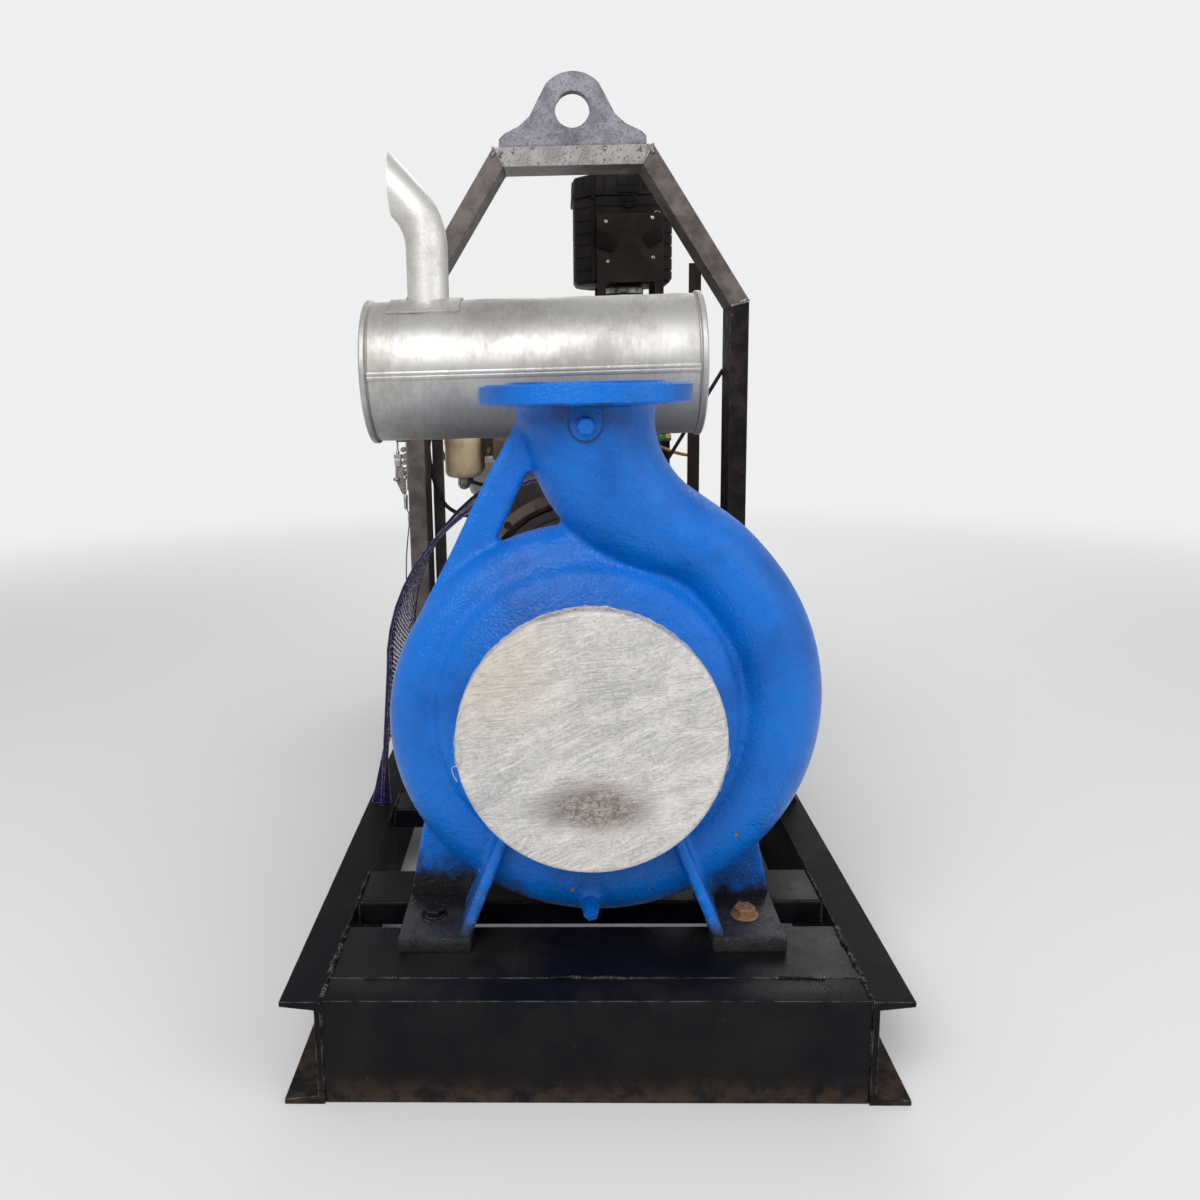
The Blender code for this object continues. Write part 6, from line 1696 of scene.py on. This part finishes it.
def roundedBox(low, high, inset, level, radius, steps):
    # outline of a box seen from above, drawn in by the inset, with round corners
    edge = inset + radius
    loop = []
    for quarter, (cx, cy) in enumerate(((high.x - edge, high.y - edge), (low.x + edge, high.y - edge),
                                        (low.x + edge, low.y + edge), (high.x - edge, low.y + edge))):
        for step in range(steps + 1):
            angle = math.radians(90.0 * (quarter + step / steps))
            loop.append((cx + radius * math.cos(angle), cy + radius * math.sin(angle), level))
    return loop


def rockerCover(bm):
    low, high = boundsOf("rocker_cover")
    rows = [(low.z, ((0.0, 0.0), (0.0, 0.008), (0.002, 0.0095), (0.012, 0.011), (0.0145, 0.016))),
            (high.z, ((0.017, -0.022), (0.02, -0.014), (0.028, -0.0065), (0.04, -0.004), (0.056, -0.0035)))]
    addRings(bm, [roundedBox(low, high, inset, base + rise, 0.022, 5)
                  for base, row in rows for inset, rise in row])
    for y in spaced(low.y + 0.095, high.y - 0.06, 8):
        addBox(bm, (low.x + 0.026, y - 0.0045, high.z - 0.018),
               (high.x - 0.026, y + 0.0045, high.z - 0.0004), 0.003)
    # filler cap with grips
    addTurned(bm, ((0.0, 0.0), (0.027, 0.0), (0.027, -0.004), (0.024, -0.006), (0.024, -0.02), (0.0, -0.02)),
              (0.0, low.y + 0.05, high.z + 0.01), "Z", 32)
    addBox(bm, (-0.024, low.y + 0.0465, high.z + 0.008), (0.024, low.y + 0.0535, high.z + 0.019), 0.003)


blockSettings = {"ribs": (0.045, 0.15, 0.232, 0.36, 0.465), "plugs": (0.097, 0.19, 0.3, 0.412, 0.505),
                 "plugLevel": 0.628, "behindStarter": (0.24, 0.35), "ends": (0.01, 0.54),
                 "plug": ((0.0, 0.0035), (0.017, 0.0045), (0.0195, 0.0055), (0.0215, 0.003),
                          (0.0215, -0.002), (0.0, -0.002))}


def blockRibs(bm):
    s = blockSettings
    low, high = boundsOf("engine_block")
    headLow, headHigh = boundsOf("cylinder_head")
    start, end = s["ends"]
    slabs = [(y - 0.006, y + 0.006, low.z + 0.03, high.z - 0.016, 0.0055) for y in s["ribs"]]
    slabs += [(start, end, high.z - 0.018, high.z - 0.004, 0.008),
              (start, end, low.z + 0.003, low.z + 0.017, 0.008)]
    for side, edge in ((-1.0, low.x), (1.0, high.x)):
        for y0, y1, z0, z1, out in slabs:
            near, far = sorted((edge - side * 0.003, edge + side * out))
            addBox(bm, (near, y0, z0), (far, y1, z1), 0.002)
        # core plugs in the block's side, none behind the starter
        profile = [(size, along * side) for size, along in s["plug"]]
        for y in s["plugs"]:
            if side < 0.0 or not s["behindStarter"][0] < y < s["behindStarter"][1]:
                addTurned(bm, profile, (edge, y, s["plugLevel"]), "X", 28)
    # seam between the head and the block
    addBox(bm, (headLow.x - 0.003, 0.004, headLow.z - 0.0004),
           (headHigh.x + 0.003, 0.546, headLow.z + 0.004), 0.0008, 1)


def pressedSump(bm):
    # pressed sump with a flange, rounded below
    low, high = boundsOf("oil_sump")
    rows = [(high.z, ((-0.012, 0.0), (-0.012, -0.0045), (-0.009, -0.006), (0.003, -0.007), (0.007, -0.014))),
            (low.z, ((0.009, 0.06), (0.013, 0.02), (0.022, 0.005), (0.038, 0.0)))]
    addRings(bm, [roundedBox(low, high, inset, base + rise, 0.02, 4)
                  for base, row in rows for inset, rise in row])
    for z in (low.z + 0.052, low.z + 0.094, low.z + 0.136):
        addBox(bm, (low.x + 0.0045, 0.075, z - 0.006), (high.x - 0.0045, 0.475, z + 0.006), 0.0028)
    addBolt(bm, (low.x + 0.012, 0.42, low.z + 0.026), leftward, 0.0135, 0.01, 0.12, 0.2, 0.017)


def makeEngineBolts():
    head, rocker, sump, case, manifold, intake = (boundsOf(name) for name in (
        "cylinder_head", "rocker_cover", "oil_sump", "timing_case", "exhaust_manifold", "intake_manifold"))
    places = []
    for side, x in ((-1.0, head[0].x), (1.0, head[1].x)):
        places += [((x - side * 0.0125, y, head[1].z), up, 0.0098) for y in spaced(0.03, 0.52, 10)]
    row = spaced(rocker[0].y + 0.03, rocker[1].y - 0.03, 6)
    for x in (rocker[0].x + 0.0065, rocker[1].x - 0.0065):
        places += [((x, y, rocker[0].z + 0.0085), up, 0.0052) for y in row]
    for side, x in ((-1.0, sump[0].x), (1.0, sump[1].x)):
        places += [((x + side * 0.0035, y, sump[1].z - 0.006), down, 0.0062) for y in spaced(0.02, 0.53, 12)]
    face = case[1].y - 0.0005
    for z in spaced(case[0].z + 0.02, case[1].z - 0.02, 6):
        places += [((x, face, z), rearward, 0.007) for x in (case[0].x + 0.012, case[1].x - 0.012)]
    places += [((x, face, case[1].z - 0.013), rearward, 0.007) for x in (-0.075, 0.075)]
    setBolts("engine_bolts", places, "engineDark", "engine_iron")
    # bolt circles round the shaft: name, axis, finish, slot, then place, radius, count, start, size
    for name, axis, finish, slotName, circles in (
            ("housing_bolts", forward, "engineDark", "engine_iron",
             ((boundsOf("flywheel_housing")[0].y + 0.0003, 0.212, 12, math.radians(13.3), 0.0064),)),
            ("coupling_bolts", forward, "boltSteel", "engine_iron",
             ((-0.3296, 0.085, 6, 0.0, 0.008), (-0.2848, 0.133, 8, 0.3, 0.0095))),
            ("bracket_bolts", rearward, "plugBlue", "pump_paint",
             ((-0.7509, 0.217, 12, 0.26, 0.011), (-0.5051, 0.0665, 6, 0.2, 0.006)))):
        setBolts(name, [(spot, axis, size) for y, radius, count, start, size in circles
                        for spot in roundSpots(y, radius, count, start)], finish, slotName)
    pads = [((manifold[0].x + 0.0005, y + shift, manifold[0].z + 0.022), leftward, 0.0078)
            for y in spaced(manifold[0].y + 0.045, manifold[1].y - 0.045, 4) for shift in (-0.024, 0.024)]
    setBolts("manifold_nuts", pads, "rustyBolt", "engine_iron")
    flange = [((intake[1].x - 0.014, y, intake[1].z), up, 0.007)
              for y in spaced(intake[0].y + 0.02, intake[1].y - 0.02, 6)]
    setBolts("intake_bolts", flange, "engineDark", "engine_iron")


ancillarySettings = {"starter": (0.216, 0.448), "starterRadius": 0.047, "bands": (0.03, 0.044, 0.136, 0.15),
                     "alternator": (-0.225, 0.0, 0.653), "fins": 22, "capX": 0.12, "hoseRadius": 0.019}


def starterBands(bm):
    s = ancillarySettings
    x, z = s["starter"]
    for y in s["bands"]:
        addTurned(bm, ((0.044, -0.0028), (0.0462, -0.002), (0.0462, 0.002), (0.044, 0.0028), (0.03, 0.0028),
                       (0.03, -0.0028)), (x, y, z), "Y", 40)
    for angle in (0.6, 0.6 + math.pi):
        u, v = x + s["starterRadius"] * math.cos(angle), z + s["starterRadius"] * math.sin(angle)
        addTube(bm, [(u, 0.004, v), (u, 0.176, v)], 0.0026, 8)


def alternatorFins(bm):
    s = ancillarySettings
    front = boundsOf("alternator")[0].y
    for count in range(s["fins"]):
        angle = turn * count / s["fins"]
        out = Vector((math.cos(angle), 0.0, math.sin(angle)))
        side = Vector((-math.sin(angle), 0.0, math.cos(angle))) * 0.0012
        inner, outer = (Vector(s["alternator"]) + out * reach for reach in (0.056, 0.0625))
        quad = [(spot.x, spot.z) for spot in (inner - side, outer - side, outer + side, inner + side)]
        addPlate(bm, quad, "XZ", front + 0.012, front + 0.092, 0.0004)


def bracketFittings(bm):
    # breather, sight glass and drain plug
    addTurned(bm, ((0.0, 0.0), (0.0085, 0.0), (0.0085, 0.01), (0.012, 0.012), (0.012, 0.02), (0.0, 0.022)),
              (0.0, -0.63, 0.538), "Z", 24)
    addTurned(bm, ((0.0, 0.0), (0.013, 0.0), (0.015, -0.003), (0.015, -0.008), (0.0, -0.008)),
              (0.082, -0.62, 0.448), "X", 28)
    addBolt(bm, (0.0, -0.56, 0.388), down, 0.01, 0.0085, 0.12, 0.1, 0.0125)


def addBand(bm, centre, axis, radius, width=0.0055):
    # hose band with its screw housing on top
    profile = [(radius + rise, width * share) for rise, share in (
        (-0.001, -1.0), (0.0012, -1.0), (0.0018, -0.7), (0.0018, 0.7), (0.0012, 1.0), (-0.001, 1.0))]
    addTurned(bm, profile, centre, axis, 40)
    spot, half = Vector(centre) + Vector((0.0, 0.0, radius + 0.0035)), Vector((0.0085, 0.0055, 0.003))
    addBox(bm, spot - half, spot + half, 0.0015)
    addBolt(bm, spot + Vector((0.0085, 0.0, 0.0005)), rightward, 0.004, 0.0045)


def hoseClamps(bm):
    r = ancillarySettings["hoseRadius"]
    low, high = boundsOf("radiator_top_hose")
    addBand(bm, (-0.15, high.y - 0.012, high.z - r), "Y", r)
    addBand(bm, (-0.075, low.y + 0.014, low.z + r), "Y", r)
    low, high = boundsOf("radiator_bottom_hose")
    addBand(bm, (0.15, high.y - 0.012, low.z + r), "Y", r)
    low, high = boundsOf("exhaust_pipe")
    middle, reach = (low.x + high.x) / 2.0, (high.x - low.x) / 2.0
    addBand(bm, (middle, low.y + 0.03, high.z - reach), "Y", reach, 0.012)
    addBand(bm, (middle, high.y - reach, low.z + 0.02), "Z", reach, 0.008)


def radiatorCap(bm):
    # two sizes by turns round the edge make the grips
    low, high = boundsOf("radiator_top_tank")
    centre = Vector((ancillarySettings["capX"], (low.y + high.y) / 2.0, high.z))
    rings = []
    for size, rise in ((0.025, -0.004), (0.0345, -0.003), (0.035, 0.0), (0.035, 0.007), (0.03, 0.01),
                       (0.012, 0.012)):
        sizes = [size * (1.045 if a % 6 < 3 and size > 0.034 else 1.0) for a in range(48)]
        rings.append([onAxis("Z", wide, turn * a / 48, rise) + centre for a, wide in enumerate(sizes)])
    addRings(bm, rings)


coreSettings = {"tubes": 42, "margin": 0.012, "tubeHalf": 0.0016}


def finnedCore(bm):
    # flat tubes standing proud of the fins on both faces
    s = coreSettings
    low, high = boundsOf("radiator_core")
    addBox(bm, (low.x, low.y + 0.004, low.z), (high.x, high.y - 0.004, high.z))
    for step in range(s["tubes"]):
        x = low.x + s["margin"] + (high.x - low.x - s["margin"] * 2.0) * step / (s["tubes"] - 1)
        addBox(bm, (x - s["tubeHalf"], low.y + 0.0005, low.z + 0.002),
               (x + s["tubeHalf"], high.y - 0.0005, high.z - 0.002))


def makeRadiatorBolts():
    rear = boundsOf("radiator_frame")[1].y
    tankLow, tankHigh = boundsOf("radiator_top_tank")
    places = []
    for side in bothSides:
        places += [((side * 0.286, rear - 0.0142, z), rearward, 0.0085) for z in spaced(0.42, 0.8, 4)]
        places += [((side * 0.324, y, railTop + 0.0085), up, 0.01) for y in (0.86, 0.905)]
    places += [((x, tankHigh.y - 0.0003, tankLow.z + 0.016), rearward, 0.007) for x in spaced(-0.24, 0.24, 7)]
    setBolts("radiator_bolts", places, "skidPaint", "skid_paint")


makePiece("rocker_cover_cast", rockerCover, "engineDark", "engine_iron", "rocker_cover", smooth=40.0)
makePiece("block_ribs", blockRibs, "engineIron", "engine_iron")
makePiece("pressed_sump", pressedSump, "engineDark", "engine_iron", "oil_sump", smooth=40.0)
makeEngineBolts()
makePiece("starter_bands", starterBands, "engineDark", "engine_iron")
makePiece("alternator_fins", alternatorFins, "castAlloy", "engine_iron")
makePiece("bracket_fittings", bracketFittings, "brassFitting", "pump_paint")
makePiece("hose_clamps", hoseClamps, "boltSteel", "engine_iron")
makePiece("radiator_cap", radiatorCap, "castAlloy", "skid_paint")
print("engine details")
makePiece("finned_core", finnedCore, "coreFins", "engine_iron", "radiator_core", smooth=30.0)
makeRadiatorBolts()
print("radiator")
